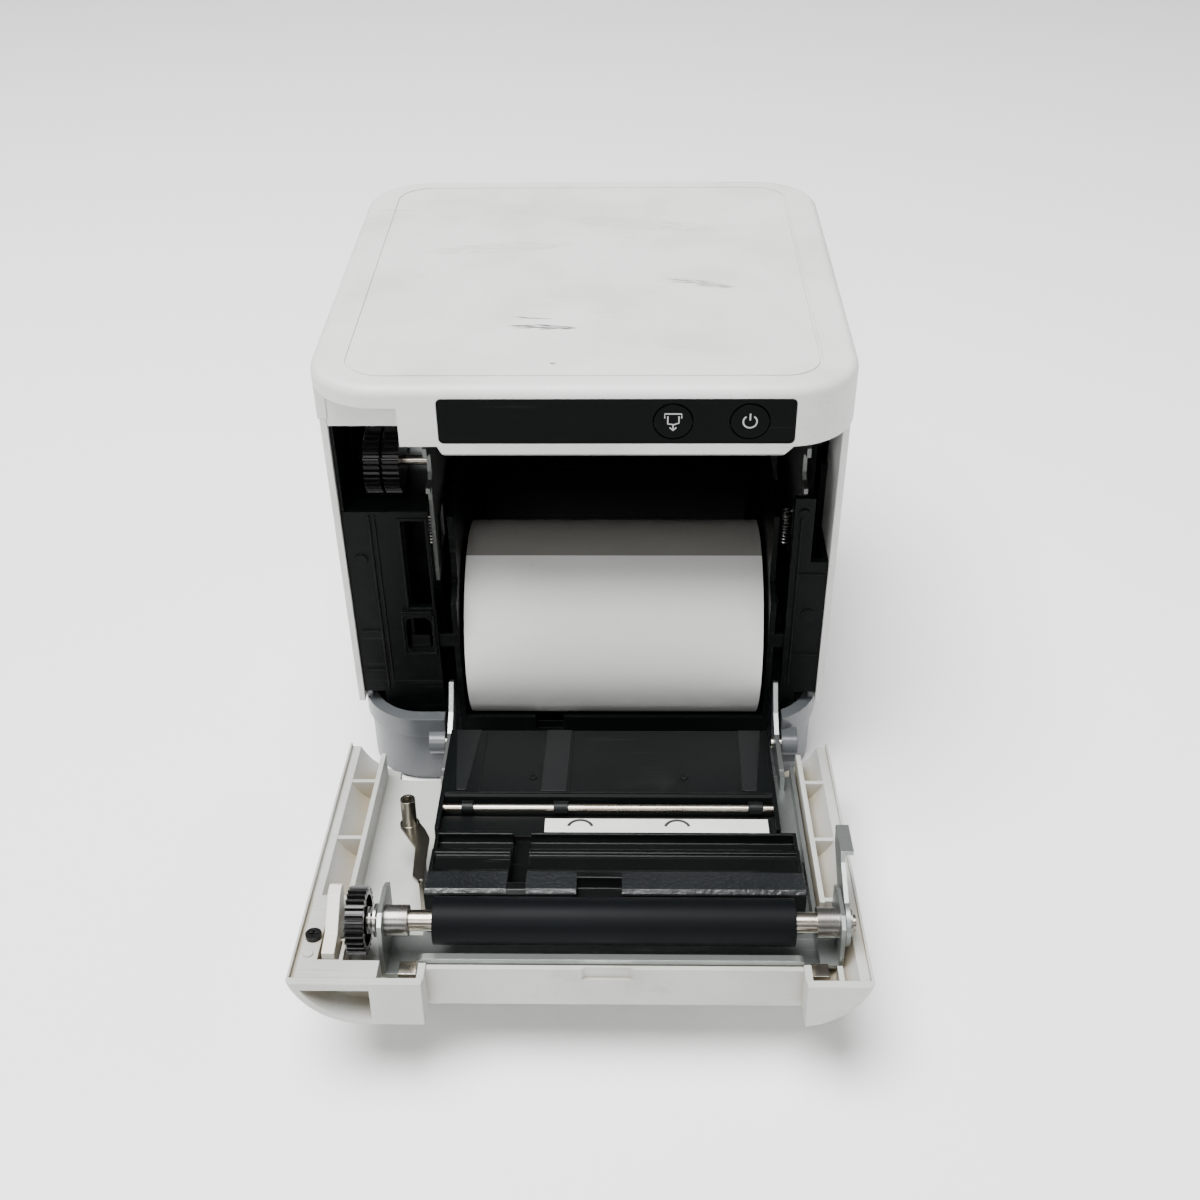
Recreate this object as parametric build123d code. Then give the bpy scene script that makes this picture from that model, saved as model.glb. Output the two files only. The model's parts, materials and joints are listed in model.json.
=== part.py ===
from build123d import *
import os
from math import atan2, cos, degrees, radians, sin

# Compact front-exit receipt printer, millimetres.
# +X is to the right, +Y to the back, +Z up.  The origin is on the table, under the
# centre of the case.  The front cover is modelled where it sits when shut, and is
# then swung open about its hinge, because open is the rest position.

os.makedirs("parts", exist_ok=True)

# ---- case -------------------------------------------------------------------
CASE = 127.0                 # width, depth and height of the printer when shut
HALF = CASE / 2
CORNER_R = 17.0              # upright corners of the case
SKIN = 2.3                   # wall of the top cover and the front cover
FOOT_H = 1.2                 # rubber feet below the base
BASE_TOP = 23.5
BASE_FLOOR = FOOT_H + 2.0
SIDE_HALF = 62.6             # outer face of the side shell
SIDE_SKIN = 1.6
SIDE_INNER = SIDE_HALF - SIDE_SKIN
SIDE_BOTTOM = 24.5
SIDE_FRONT = -50.4           # front edge of the side shell
SKIRT = 112.0                # lower edge of the top cover
BAR_BOTTOM = 110.0           # lower edge of the bar over the paper slot
INNER_FRONT = -49.5          # front plane of the parts inside the mouth

# ---- control panel ------------------------------------------------------------
PANEL_X = (-32.8, 48.0)
PANEL_Z = (112.8, 124.2)
BUTTON_X = {"feed_button": 20.4, "power_button": 37.7}
BUTTON_R = 4.3
BUTTON_TRAVEL = 0.6

# ---- front cover --------------------------------------------------------------
HINGE_Y, HINGE_Z = -57.5, 16.0
OPEN_ANGLE = 84.2
COVER_HALF = 63.3
COVER_BACK = -50.9           # free edge of the cover's walls
COVER_TOP = 111.4
COVER_BOTTOM = 25.5
SLOT_EDGE = 104.6            # upper edge of the cover below the paper slot
SLOT_X = (-33.6, 48.5)
COVER_SKIN = 2.1
COVER_FLOOR = -HALF + SKIN   # inner face of the cover's front wall

# ---- platen and gear train ------------------------------------------------------
PLATEN_Y, PLATEN_Z = -47.5, 95.5
PLATEN_R = 5.25
PLATEN_X = (-32.3, 46.9)
SHAFT_R = 2.35
BUSH_R = 3.45
RUN = 0.05                   # radial running clearance of shafts and pins
GAP = 0.3                    # clearance between parts that move past each other
MODULE = 0.5
PLATEN_TEETH, IDLER_TEETH, SECOND_TEETH, PINION_TEETH = 28, 32, 36, 12
MESH_SLACK = 0.12            # added to each centre distance
INNER_PLANE = (-51.0, -46.9)  # gears in line with the platen gear
OUTER_PLANE = (-55.8, -51.8)  # gears in line with the motor pinion
STUD_R = 1.2

# ---- paper ----------------------------------------------------------------------
ROLL_R, CORE_R, CORE_BORE = 27.0, 9.0, 6.0
ROLL_X = (-33.2, 46.3)
BAY_FLOOR = 5.2
ROLL_Y, ROLL_Z = -22.3, BAY_FLOOR + GAP + ROLL_R
BAY_X = (-34.2, 47.3)
BAY_WALL = 1.5

PLATE_L = (-39.2, -38.2)     # steel side plates of the printing mechanism
PLATE_R = (53.2, 54.2)
ARM_L = (-38.0, -36.8)       # steel hinge arms of the cover
ARM_R = (49.6, 50.8)

OPEN = Pos(0, HINGE_Y, HINGE_Z) * Rot(OPEN_ANGLE, 0, 0) * Pos(0, -HINGE_Y, -HINGE_Z)


# ---- shape helpers --------------------------------------------------------------
def block(x0, x1, y0, y1, z0, z1):
    centre = Pos((x0 + x1) / 2, (y0 + y1) / 2, (z0 + z1) / 2)
    return centre * Box(x1 - x0, y1 - y0, z1 - z0)


def rod_x(x0, x1, y, z, r):
    return Pos((x0 + x1) / 2, y, z) * Rot(0, 90, 0) * Cylinder(r, x1 - x0)


def rod_y(x, y0, y1, z, r):
    return Pos(x, (y0 + y1) / 2, z) * Rot(90, 0, 0) * Cylinder(r, y1 - y0)


def rod_z(x, y, z0, z1, r):
    return Pos(x, y, (z0 + z1) / 2) * Cylinder(r, z1 - z0)


def plate_x(x0, x1, *points):
    """A flat plate between x0 and x1 with the outline given as (y, z) points."""
    face = make_face(Polyline(*points, close=True))
    return extrude(Plane.YZ.offset(x0) * face, x1 - x0)


def plate_y(y0, y1, *points):
    """A flat plate between y0 and y1 with the outline given as (x, z) points."""
    face = make_face(Polyline(*points, close=True))
    return Pos(0, y1, 0) * Rot(90, 0, 0) * extrude(face, y1 - y0)


def rounded_y(x0, x1, z0, z1, r, y0, y1):
    """A plate between y0 and y1 with rounded corners."""
    face = Pos((x0 + x1) / 2, (z0 + z1) / 2) * RectangleRounded(x1 - x0, z1 - z0, r)
    return Pos(0, y1, 0) * Rot(90, 0, 0) * extrude(face, y1 - y0)


def upright(half_x, y0, y1, r, z0, z1):
    """A box with rounded upright corners, centred on x = 0."""
    face = Pos(0, (y0 + y1) / 2) * RectangleRounded(2 * half_x, y1 - y0, r)
    return Pos(0, 0, z0) * extrude(face, z1 - z0)


def ring_x(x0, x1, y, z, r_out, r_in):
    return rod_x(x0, x1, y, z, r_out) - rod_x(x0 - 1, x1 + 1, y, z, r_in)


def gear(teeth, x0, x1, y, z, bore, phase):
    """A spur gear about X with a tooth centred on the angle phase, in degrees."""
    pitch_r = MODULE * teeth / 2
    tip_r, root_r = pitch_r + MODULE * 0.95, pitch_r - MODULE * 1.2
    step = 360 / teeth
    points = []
    for tooth in range(teeth):
        centre = phase + tooth * step
        for r, share in ((root_r, -0.29), (tip_r, -0.10), (tip_r, 0.10), (root_r, 0.29)):
            a = radians(centre + share * step)
            points.append((y + r * cos(a), z + r * sin(a)))
    return plate_x(x0, x1, *points) - rod_x(x0 - 1, x1 + 1, y, z, bore)


def beside(y, z, teeth_a, teeth_b, angle):
    """Centre of gear b in mesh with gear a, in the direction given by angle."""
    distance = MODULE * (teeth_a + teeth_b) / 2 + MESH_SLACK
    return y + distance * cos(radians(angle)), z + distance * sin(radians(angle))


def mesh_phase(phase_a, teeth_a, teeth_b, angle):
    """Phase that lets gear b's teeth fall between those of gear a."""
    fraction = ((angle - phase_a) / (360 / teeth_a)) % 1
    return angle + 180 + (fraction - 0.5) * 360 / teeth_b


# The gear centres follow from the platen, each gear in mesh with the one before it.
IDLER_ANGLE = -20.0          # from the platen gear to the idler
SECOND_ANGLE = -20.0         # from the idler to the second gear
PINION_ANGLE = -30.0         # from the second gear to the motor pinion
IDLER_Y, IDLER_Z = beside(PLATEN_Y, PLATEN_Z, PLATEN_TEETH, IDLER_TEETH, IDLER_ANGLE)
SECOND_Y, SECOND_Z = beside(IDLER_Y, IDLER_Z, IDLER_TEETH, SECOND_TEETH, SECOND_ANGLE)
MOTOR_Y, MOTOR_Z = beside(SECOND_Y, SECOND_Z, SECOND_TEETH, PINION_TEETH, PINION_ANGLE)
PLATEN_PHASE = 0.0
IDLER_IN_PHASE = mesh_phase(PLATEN_PHASE, PLATEN_TEETH, IDLER_TEETH, IDLER_ANGLE)
IDLER_OUT_PHASE = SECOND_ANGLE
SECOND_PHASE = mesh_phase(IDLER_OUT_PHASE, IDLER_TEETH, SECOND_TEETH, SECOND_ANGLE)
PINION_PHASE = mesh_phase(SECOND_PHASE, SECOND_TEETH, PINION_TEETH, PINION_ANGLE)


# ---- case -----------------------------------------------------------------------
BASE_HALF, BASE_WALL = 61.4, 2.0
RIM_HALF, RIM_FRONT, RIM_BOTTOM = 62.2, -57.2, 17.5
BASE_FRONT = -55.8
FOOT_X, FOOT_Y, FOOT_R = 47.0, (-40.0, 46.0), 5.0
BRACKET_X, BRACKET_Y = 45.0, (-28.0, 34.0)   # threaded holes for a wall bracket
BRACKET_HOLE_R = 1.5
BOSS_TOP = 4.0
UPSTAND_TOP = 27.0           # ring inside the side shell
EAR_L = (-43.2, -38.9)       # hinge bosses on the front wall of the base
EAR_R = (51.7, 56.0)
PIN_R = 1.5


def base_tray():
    body = upright(BASE_HALF, BASE_FRONT, BASE_HALF, 15.5, FOOT_H, BASE_TOP)
    body += upright(RIM_HALF, RIM_FRONT, RIM_HALF, 16.3, RIM_BOTTOM, BASE_TOP)
    inner = BASE_HALF - BASE_WALL
    body -= upright(inner, BASE_FRONT + BASE_WALL, inner, 13.5, BASE_FLOOR, BASE_TOP + 1)
    ring = upright(SIDE_INNER, -SIDE_INNER, SIDE_INNER, 14.5, BASE_TOP - 1.5, UPSTAND_TOP)
    ring -= upright(inner, -inner, inner, 13.5, BASE_TOP - 2, UPSTAND_TOP + 1)
    body += ring - block(-70, 70, -70, SIDE_FRONT + 3, BASE_TOP - 2, UPSTAND_TOP + 1)
    body -= block(EAR_L[1], EAR_R[0], -60, -50, BAY_FLOOR, BASE_TOP + 1)
    for y in (-34.0, -10.0):
        body += block(-38, 50, y - 0.8, y + 0.8, BASE_FLOOR - 0.5, FRAME_FLOOR)
    for x0, x1 in (EAR_L, EAR_R):
        body += rod_x(x0, x1, HINGE_Y, HINGE_Z, 3.2)
        body += block(x0, x1, HINGE_Y, BASE_FRONT + 1, HINGE_Z - 7, HINGE_Z + 3.2)
        body -= rod_x(x0 - 1, x1 + 1, HINGE_Y, HINGE_Z, PIN_R)
    for x in (-BRACKET_X, BRACKET_X):
        for y in BRACKET_Y:
            body += rod_z(x, y, BASE_FLOOR - 0.5, BOSS_TOP, 3.5)
            body -= rod_z(x, y, 0, BOSS_TOP + 1, BRACKET_HOLE_R)
    for x in (-FOOT_X, FOOT_X):
        for y in FOOT_Y:
            body -= rod_z(x, y, 0, FOOT_H + 0.6, FOOT_R)
    return body


def rubber_feet():
    feet = [rod_z(x, y, 0, FOOT_H + 0.6, FOOT_R) for x in (-FOOT_X, FOOT_X) for y in FOOT_Y]
    return Compound(children=feet)


def hinge_pins():
    left = rod_x(EAR_L[0], ARM_L[1] + 0.6, HINGE_Y, HINGE_Z, PIN_R)
    right = rod_x(ARM_R[0] - 0.6, EAR_R[1], HINGE_Y, HINGE_Z, PIN_R)
    return Compound(children=[left, right])


REAR_X, REAR_TOP = 44.0, 50.0    # opening for the connectors in the rear wall


def side_shell():
    body = upright(SIDE_HALF, -90, SIDE_HALF, 16.1, SIDE_BOTTOM, SKIRT)
    body -= upright(SIDE_INNER, -95, SIDE_INNER, 14.5, SIDE_BOTTOM - 1, SKIRT + 1)
    body -= block(-70, 70, -95, SIDE_FRONT, SIDE_BOTTOM - 1, SKIRT + 1)
    body -= block(-REAR_X, REAR_X, 55, 70, SIDE_BOTTOM - 1, REAR_TOP)
    return body


NOTCH_X, NOTCH_TOP, NOTCH_BACK = -41.9, 121.8, -50.6   # finger notch at the front left
PANEL_FLOOR = -HALF + 1.3
BOARD_FACE = -HALF + 5.6     # front face of the button board
BRIDGE_Z = (116.0, 117.0)


def top_cover():
    body = upright(HALF, -HALF, HALF, CORNER_R, SKIRT, CASE)
    body = fillet(body.faces().sort_by(Axis.Z)[-1].edges(), 2.4)
    inner = HALF - SKIN
    body -= upright(inner, -inner, inner, CORNER_R - SKIN, SKIRT - 1, CASE - 2.4)
    groove = upright(55.0, -58.0, 57.5, 9.0, CASE - 0.2, CASE + 1)
    groove -= upright(54.3, -57.3, 56.8, 8.3, CASE - 1, CASE + 2)
    body -= groove
    body += plate_y(-HALF, -HALF + 4.5, (-33.2, SKIRT + 0.5), (-33.2, SKIRT - 0.4),
                    (-32.3, BAR_BOTTOM), (46.0, BAR_BOTTOM), (47.8, SKIRT - 0.2),
                    (47.8, SKIRT + 0.5))
    body -= block(-70, NOTCH_X, -70, NOTCH_BACK, SKIRT - 5, NOTCH_TOP)
    body += block(-60.9, PLATE_L[1], NOTCH_BACK + 0.2, NOTCH_BACK + 1.7, BAR_BOTTOM, CASE - 2)
    body -= rounded_y(PANEL_X[0] - 0.1, PANEL_X[1] + 0.1, PANEL_Z[0] - 0.1, PANEL_Z[1] + 0.1,
                      1.3, -HALF - 1, PANEL_FLOOR)
    for x in BUTTON_X.values():
        body -= rod_y(x, -HALF - 1, -HALF + 5, sum(PANEL_Z) / 2, BUTTON_R + 0.4)
    for x in (PANEL_X[0] + 3.4, PANEL_X[1] - 3.4):
        body += rod_y(x, -inner - 0.5, BOARD_FACE, sum(PANEL_Z) / 2, 1.2)
    for x in (-33.0, 47.0):
        for y in (-26.0, 0.0):
            body += rod_z(x, y, BRIDGE_Z[1], CASE - 2, 3.0)
    return body


def control_panel():
    body = rounded_y(*PANEL_X, *PANEL_Z, 1.2, -HALF + 0.1, PANEL_FLOOR)
    for x in BUTTON_X.values():
        body -= rod_y(x, -HALF - 1, -HALF + 5, sum(PANEL_Z) / 2, BUTTON_R + GAP)
    return body


def button(x):
    z = sum(PANEL_Z) / 2
    cap = rod_y(x, -HALF, -HALF + 2.7, z, BUTTON_R)
    flange = rod_y(x, -HALF + 2.7, -HALF + 3.5, z, BUTTON_R + 1.0)
    return cap + flange


def button_board():
    body = block(PANEL_X[0] + 1, PANEL_X[1] - 1, BOARD_FACE, BOARD_FACE + 1.6,
                 PANEL_Z[0] + 1, PANEL_Z[1] - 0.4)
    for x in BUTTON_X.values():
        body += block(x - 3, x + 3, BOARD_FACE - 0.8, BOARD_FACE + 0.2,
                      PANEL_Z[0] + 2.5, PANEL_Z[1] - 2.5)
    return body


# ---- inside of the case -----------------------------------------------------------
BAY_REAR, BAY_R, BAY_TOP = 40.0, 46.0, 79.0
BOARD_Y = (43.0, 44.6)
LEFT_BLOCK_X = (-SIDE_INNER, -39.5)
RIGHT_PANEL_X = (51.4, SIDE_INNER)
LIP_TOP = 17.3
FRAME_FLOOR = BAY_FLOOR - 1.0


def bay_profile(x0, x1, floor, rear, front_low, front_top):
    """The roll bay's outline, with a curved floor rising to the rear wall."""
    r = rear - (BAY_REAR - BAY_R)
    turn = rear - r
    bend = (turn + r * cos(radians(-45)), floor + r + r * sin(radians(-45)))
    outline = Polyline((rear, floor + r), (rear, BAY_TOP), *front_top, *front_low, (turn, floor))
    outline += ThreePointArc((turn, floor), bend, (rear, floor + r))
    return extrude(Plane.YZ.offset(x0) * make_face(outline), x1 - x0)


def main_frame():
    front = INNER_FRONT + 0.8
    body = bay_profile(BAY_X[0] - BAY_WALL, BAY_X[1] + BAY_WALL, FRAME_FLOOR, BAY_REAR + 1.0,
                       [(front, 56), (front, FRAME_FLOOR)], [(-42.4, BAY_TOP), (-42.4, 59)])
    cavity = bay_profile(*BAY_X, BAY_FLOOR, BAY_REAR,
                         [(-60, LIP_TOP), (front + 1.2, LIP_TOP), (-42.6, BAY_FLOOR)],
                         [(-60, BAY_TOP)])
    body -= cavity
    body -= block(*BAY_X, -60, BAY_REAR, BAY_TOP - 1, BAY_TOP + 2)
    body -= block(-15.0, -7.4, front - 1, -46.0, 11.0, LIP_TOP + 1)
    for z in (36.0, 62.0):
        body += block(BAY_X[0], BAY_X[1], BAY_REAR - 1.2, BAY_REAR + 0.5, z, z + 2.5)
    left, right = BAY_X[0] - BAY_WALL, BAY_X[1] + BAY_WALL
    for x0, x1 in ((LEFT_BLOCK_X[1], left + 0.5), (right - 0.5, RIGHT_PANEL_X[0])):
        body += block(x0, x1, front, front + 1.0, 42, 46)
    for x0, x1 in ((PLATE_L[1], left + 0.5), (right - 0.5, PLATE_R[0])):
        body += block(x0, x1, -20, -10, 64, 70)
    for x in (-28.0, 40.0):
        for z in (50.0, 72.0):
            body += rod_y(x, BAY_REAR + 0.5, BOARD_Y[0], z, 2.5)
    return body


STUD_X, STUD_Z = -42.6, 59.3     # interlock stud on the cover, which enters the slot


SLOT_L = (-46.3, -40.3)


def left_block():
    x0, x1 = LEFT_BLOCK_X
    wall = 1.6
    front, back = INNER_FRONT, INNER_FRONT + wall
    body = block(x0, x1, front, back, 20, 85)
    body += block(x0, x1, front, -41.0, 85 - wall, 85)
    body += block(x0, x0 + wall, front, -24, UPSTAND_TOP, 85)
    body -= block(x0 - 1, -55.4, front - 1, back + 1, 19, UPSTAND_TOP + 0.2)
    body -= block(OUTER_PLANE[0] - 1.4, INNER_PLANE[1] + 1.4, -43.2, -36, 80, 86)
    body -= block(*SLOT_L, front - 1, back + 1, 55.5, 82.5)
    body -= rounded_y(-47.8, -41.1, 41.0, 52.0, 2.0, front - 1, back + 1)
    body += plate_x(-47.0, -42.0, (back - 0.3, 40.5), (back + 4.5, 40.5), (back - 0.3, 45.5))
    body += rod_y(-57.3, front - 0.5, front + 0.2, 70.6, 1.7)
    body += block(-48.5, -40.6, front - 0.9, front, 53.3, 54.6)
    return body


def right_panel():
    x0, x1 = RIGHT_PANEL_X
    wall = 1.6
    front = INNER_FRONT
    body = block(x0, x1, front, front + wall, 20, 89)
    body += block(x1 - wall, x1, front, -24, UPSTAND_TOP, 89)
    body -= block(55.4, x1 + 1, front - 1, front + wall + 1, 19, UPSTAND_TOP + 0.2)
    body -= block(56.4, x1 + 1, front - 1, -33, 70, 90)
    body += rod_y(56.9, front - 0.4, front + 0.2, 53.3, 1.9)
    body += rod_y(53.9, front - 0.4, front + 0.2, 84.5, 1.5)
    return body


def side_plate(x0, x1):
    """Steel side plate with the notch that the platen bushing drops into."""
    y, z, r = PLATEN_Y, PLATEN_Z, BUSH_R + GAP
    lip = y - 1.8
    plate = plate_x(x0, x1, (-46.3, 62), (-46.3, 90.2), (lip, 90.2), (lip, z - r),
                    (y + 2.3, z - r), (y + r, z - 2.3), (y + r, z + 2.5), (y + 2.3, z + r + 0.2),
                    (lip, z + r + 1.2), (lip, 103), (-44, 106), (-44, BRIDGE_Z[0]),
                    (8, BRIDGE_Z[0]), (8, 62))
    plate -= block(x0 - 1, x1 + 1, -38.0, -31.0, 66, 76)
    plate -= block(x0 - 1, x1 + 1, -12.0, 4.0, 100, 110)
    return plate


def mechanism_bridge():
    body = block(PLATE_L[0], PLATE_R[1], -30, 4, *BRIDGE_Z)
    return body - block(-20, 36, -22, -4, BRIDGE_Z[0] - 1, BRIDGE_Z[1] + 1)


HEAD_Y, HEAD_Z = -33.0, 104.6    # pivot of the print head, behind the platen
HEAD_FRONT, HEAD_REAR = -49.2, -31.0
HEAD_FACE = 101.1            # underside of the head, just over the platen
SINK_TOP = 106.6
SPRING_PLATE_Z = (111.0, 112.0)
SPRING_X = (-14.0, 27.0)
SPRING_Y = -41.5


def spring_plate():
    body = block(PLATE_L[1], PLATE_R[0], -44.0, HEAD_REAR, *SPRING_PLATE_Z)
    return body - block(-4, 18, -40, -35, SPRING_PLATE_Z[0] - 1, SPRING_PLATE_Z[1] + 1)


def head_springs():
    turns, wire, lift = 5, 0.3, 0.35
    low = SINK_TOP + lift + wire
    pitch = (SPRING_PLATE_Z[0] - wire - low) / (turns - 1)
    coils = [Pos(x, SPRING_Y, low + turn * pitch) * Torus(2.0, wire)
             for x in SPRING_X for turn in range(turns)]
    return Compound(children=coils)


def head_shaft():
    return rod_x(PLATE_L[1], PLATE_R[0], HEAD_Y, HEAD_Z, 1.0)


def thermal_head():
    return block(-34.0, 47.5, HEAD_FRONT, -37.0, HEAD_FACE, HEAD_FACE + 1.0)


def heat_sink():
    body = block(-35.0, 48.5, HEAD_FRONT, HEAD_REAR, HEAD_FACE + 1.0, SINK_TOP)
    for x in range(-28, 44, 8):
        body -= block(x, x + 4, -38.5, HEAD_REAR + 1, SINK_TOP - 0.6, SINK_TOP + 1)
    return body - rod_x(-40, 55, HEAD_Y, HEAD_Z, 1.0 + RUN)


BLADE_Y = (-50.9, -49.9)
BLADE_REST = 105.5


def cutter_blade():
    body = block(-33.2, 47.6, *BLADE_Y, BLADE_REST, 115.5)
    edge = plate_x(-34, 48, (BLADE_Y[0] - 1, BLADE_REST - 1), (BLADE_Y[1] + 1, BLADE_REST - 1),
                   (BLADE_Y[1] + 1, BLADE_REST + 1.5), (BLADE_Y[0], BLADE_REST))
    return body - edge


def cutter_frame():
    y0 = BLADE_Y[1] + GAP
    body = block(PLATE_L[1], PLATE_R[0], y0, -44.3, 107.5, 115.7)
    body -= block(-34.0, 49.0, y0 + 1.4, -43, 106, 114.2)
    return body


def cutter_motor():
    body = rod_x(-58.0, -41.5, -12.0, 108.5, 7.5)
    body += rod_x(-41.5, PLATE_L[0], -12.0, 108.5, 2.5)
    return body


MOTOR_R = 16.5
MOTOR_X = (-50.7, -39.6)
BRACKET_PLATE_X = (-51.5, -50.7)


def feed_motor():
    body = rod_x(*MOTOR_X, MOTOR_Y, MOTOR_Z, MOTOR_R)
    body -= rod_x(MOTOR_X[0] - 1, MOTOR_X[1] + 1, MOTOR_Y, MOTOR_Z, 1.0 + RUN)
    return body


def motor_bracket():
    body = block(*BRACKET_PLATE_X, SECOND_Y - 4.5, MOTOR_Y + MOTOR_R, MOTOR_Z - MOTOR_R, 98)
    body -= rod_x(-53, -50, MOTOR_Y, MOTOR_Z, 4.5)
    body += block(BRACKET_PLATE_X[0], PLATE_L[0], MOTOR_Y + MOTOR_R, MOTOR_Y + MOTOR_R + 0.8,
                  MOTOR_Z - MOTOR_R, 98)
    return body


def gear_studs():
    first = rod_x(OUTER_PLANE[0] - 1.0, PLATE_L[0], IDLER_Y, IDLER_Z, STUD_R)
    second = rod_x(OUTER_PLANE[0] - 1.0, BRACKET_PLATE_X[0], SECOND_Y, SECOND_Z, STUD_R)
    return Compound(children=[first, second])


def idler_gear():
    bore = STUD_R + RUN
    wheel = gear(IDLER_TEETH, *OUTER_PLANE, IDLER_Y, IDLER_Z, bore, IDLER_OUT_PHASE)
    wheel += gear(IDLER_TEETH, *INNER_PLANE, IDLER_Y, IDLER_Z, bore, IDLER_IN_PHASE)
    return wheel + ring_x(OUTER_PLANE[1], INNER_PLANE[0], IDLER_Y, IDLER_Z, 4.0, bore)


def second_gear():
    return gear(SECOND_TEETH, *OUTER_PLANE, SECOND_Y, SECOND_Z, STUD_R + RUN, SECOND_PHASE)


def motor_pinion():
    return gear(PINION_TEETH, *OUTER_PLANE, MOTOR_Y, MOTOR_Z, 1.0, PINION_PHASE)


def motor_shaft():
    return rod_x(OUTER_PLANE[0] - 0.6, MOTOR_X[1] - 1.0, MOTOR_Y, MOTOR_Z, 1.0)


PANEL_Y = (57.0, 58.6)
RECESS_WALL = 1.6
# name: centre x, width, height, opening width, opening height
SOCKETS = {
    "power_inlet": (-31.0, 15.0, 13.0, 10.0, 8.5),
    "usb_socket": (-10.5, 12.0, 11.0, 8.6, 7.8),
    "lan_socket": (10.0, 16.0, 13.5, 11.8, 8.4),
    "drawer_socket": (31.5, 15.0, 13.0, 9.8, 7.0),
}
SOCKET_Z = 37.0
PANEL_SCREW_Z = 45.8


def main_board():
    body = block(-46.0, 46.0, *BOARD_Y, 27, 104)
    for x, z, w, h in ((-22, 70, 14, 14), (8, 74, 10, 18), (30, 66, 9, 9), (-2, 92, 24, 5)):
        body += block(x - w / 2, x + w / 2, BOARD_Y[1], BOARD_Y[1] + 1.6, z - h / 2, z + h / 2)
    return body


def connector_panel():
    body = block(-REAR_X, REAR_X, PANEL_Y[0], SIDE_HALF - 0.8, UPSTAND_TOP, REAR_TOP)
    body -= block(-REAR_X + RECESS_WALL, REAR_X - RECESS_WALL, PANEL_Y[1], SIDE_HALF,
                  UPSTAND_TOP - 1, REAR_TOP - RECESS_WALL)
    body += block(-REAR_X, REAR_X, *PANEL_Y, UPSTAND_TOP, REAR_TOP + 3)
    for x, w, h, _, _ in SOCKETS.values():
        body -= block(x - w / 2, x + w / 2, 50, 65, SOCKET_Z - h / 2, SOCKET_Z + h / 2)
    return body


def socket(name):
    x, w, h, hole_w, hole_h = SOCKETS[name]
    body = block(x - w / 2, x + w / 2, BOARD_Y[1], PANEL_Y[1] + 0.4, SOCKET_Z - h / 2, SOCKET_Z + h / 2)
    return body - block(x - hole_w / 2, x + hole_w / 2, PANEL_Y[1] - 9, PANEL_Y[1] + 2,
                        SOCKET_Z - hole_h / 2, SOCKET_Z + hole_h / 2)


def case_screws():
    """Self-tapping screws that hold the connector panel."""
    screws = []
    for x in (-40.2, 40.2):
        screw = rod_y(x, PANEL_Y[1], PANEL_Y[1] + 1.4, PANEL_SCREW_Z, 2.0)
        for half_x, half_z in ((1.2, 0.25), (0.25, 1.2)):
            screw -= block(x - half_x, x + half_x, PANEL_Y[1] + 0.7, PANEL_Y[1] + 2,
                           PANEL_SCREW_Z - half_z, PANEL_SCREW_Z + half_z)
        screws.append(screw)
    return Compound(children=screws)


def paper_roll():
    return ring_x(*ROLL_X, ROLL_Y, ROLL_Z, ROLL_R, CORE_R)


def paper_core():
    return ring_x(*ROLL_X, ROLL_Y, ROLL_Z, CORE_R, CORE_BORE)


# ---- front cover, modelled shut -----------------------------------------------------
DECK = (-52.8, -51.2)            # raised deck round the release lever, in y
DECK_X, DECK_Z = -51.6, 84.0
WINDOW_X, WINDOW_Z = (-57.2, -52.4), (88.2, 103.8)
POCKET_X, POCKET_FLOOR = -44.9, 104.0
LEVER_X = (-56.4, -53.6)
LEVER_Y, LEVER_Z = -54.4, 95.0
SCREW_X, SCREW_Z = -59.1, 97.0
SCREW_END = -54.6            # inner end of the screw
WEB_EDGE = -52.2             # free edge of the ribs beside the tray


def cover_cavity(top):
    """The space inside the skin of the cover, up to the height given."""
    half = COVER_HALF - COVER_SKIN
    return upright(half, COVER_FLOOR, 10, CORNER_R - COVER_SKIN, COVER_BOTTOM - 1, top)


def cover_skin():
    body = upright(COVER_HALF, -HALF, 0, CORNER_R, COVER_BOTTOM, COVER_TOP)
    body = fillet(body.faces().sort_by(Axis.Z)[-1].edges(), 1.2)
    body -= cover_cavity(COVER_TOP - 2.0)
    body -= block(-70, 70, COVER_BACK, 10, COVER_BOTTOM - 1, COVER_TOP + 1)
    body -= block(-COVER_HALF + 1.1, COVER_HALF - 1.1, COVER_BACK - 1.2, COVER_BACK + 1,
                  COVER_BOTTOM - 1, COVER_TOP - 2.0)
    body -= block(-50, 50, -70, -50, COVER_BOTTOM - 1, 28.5)
    return body - block(*SLOT_X, -70, -40, SLOT_EDGE, COVER_TOP + 1)


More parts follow.
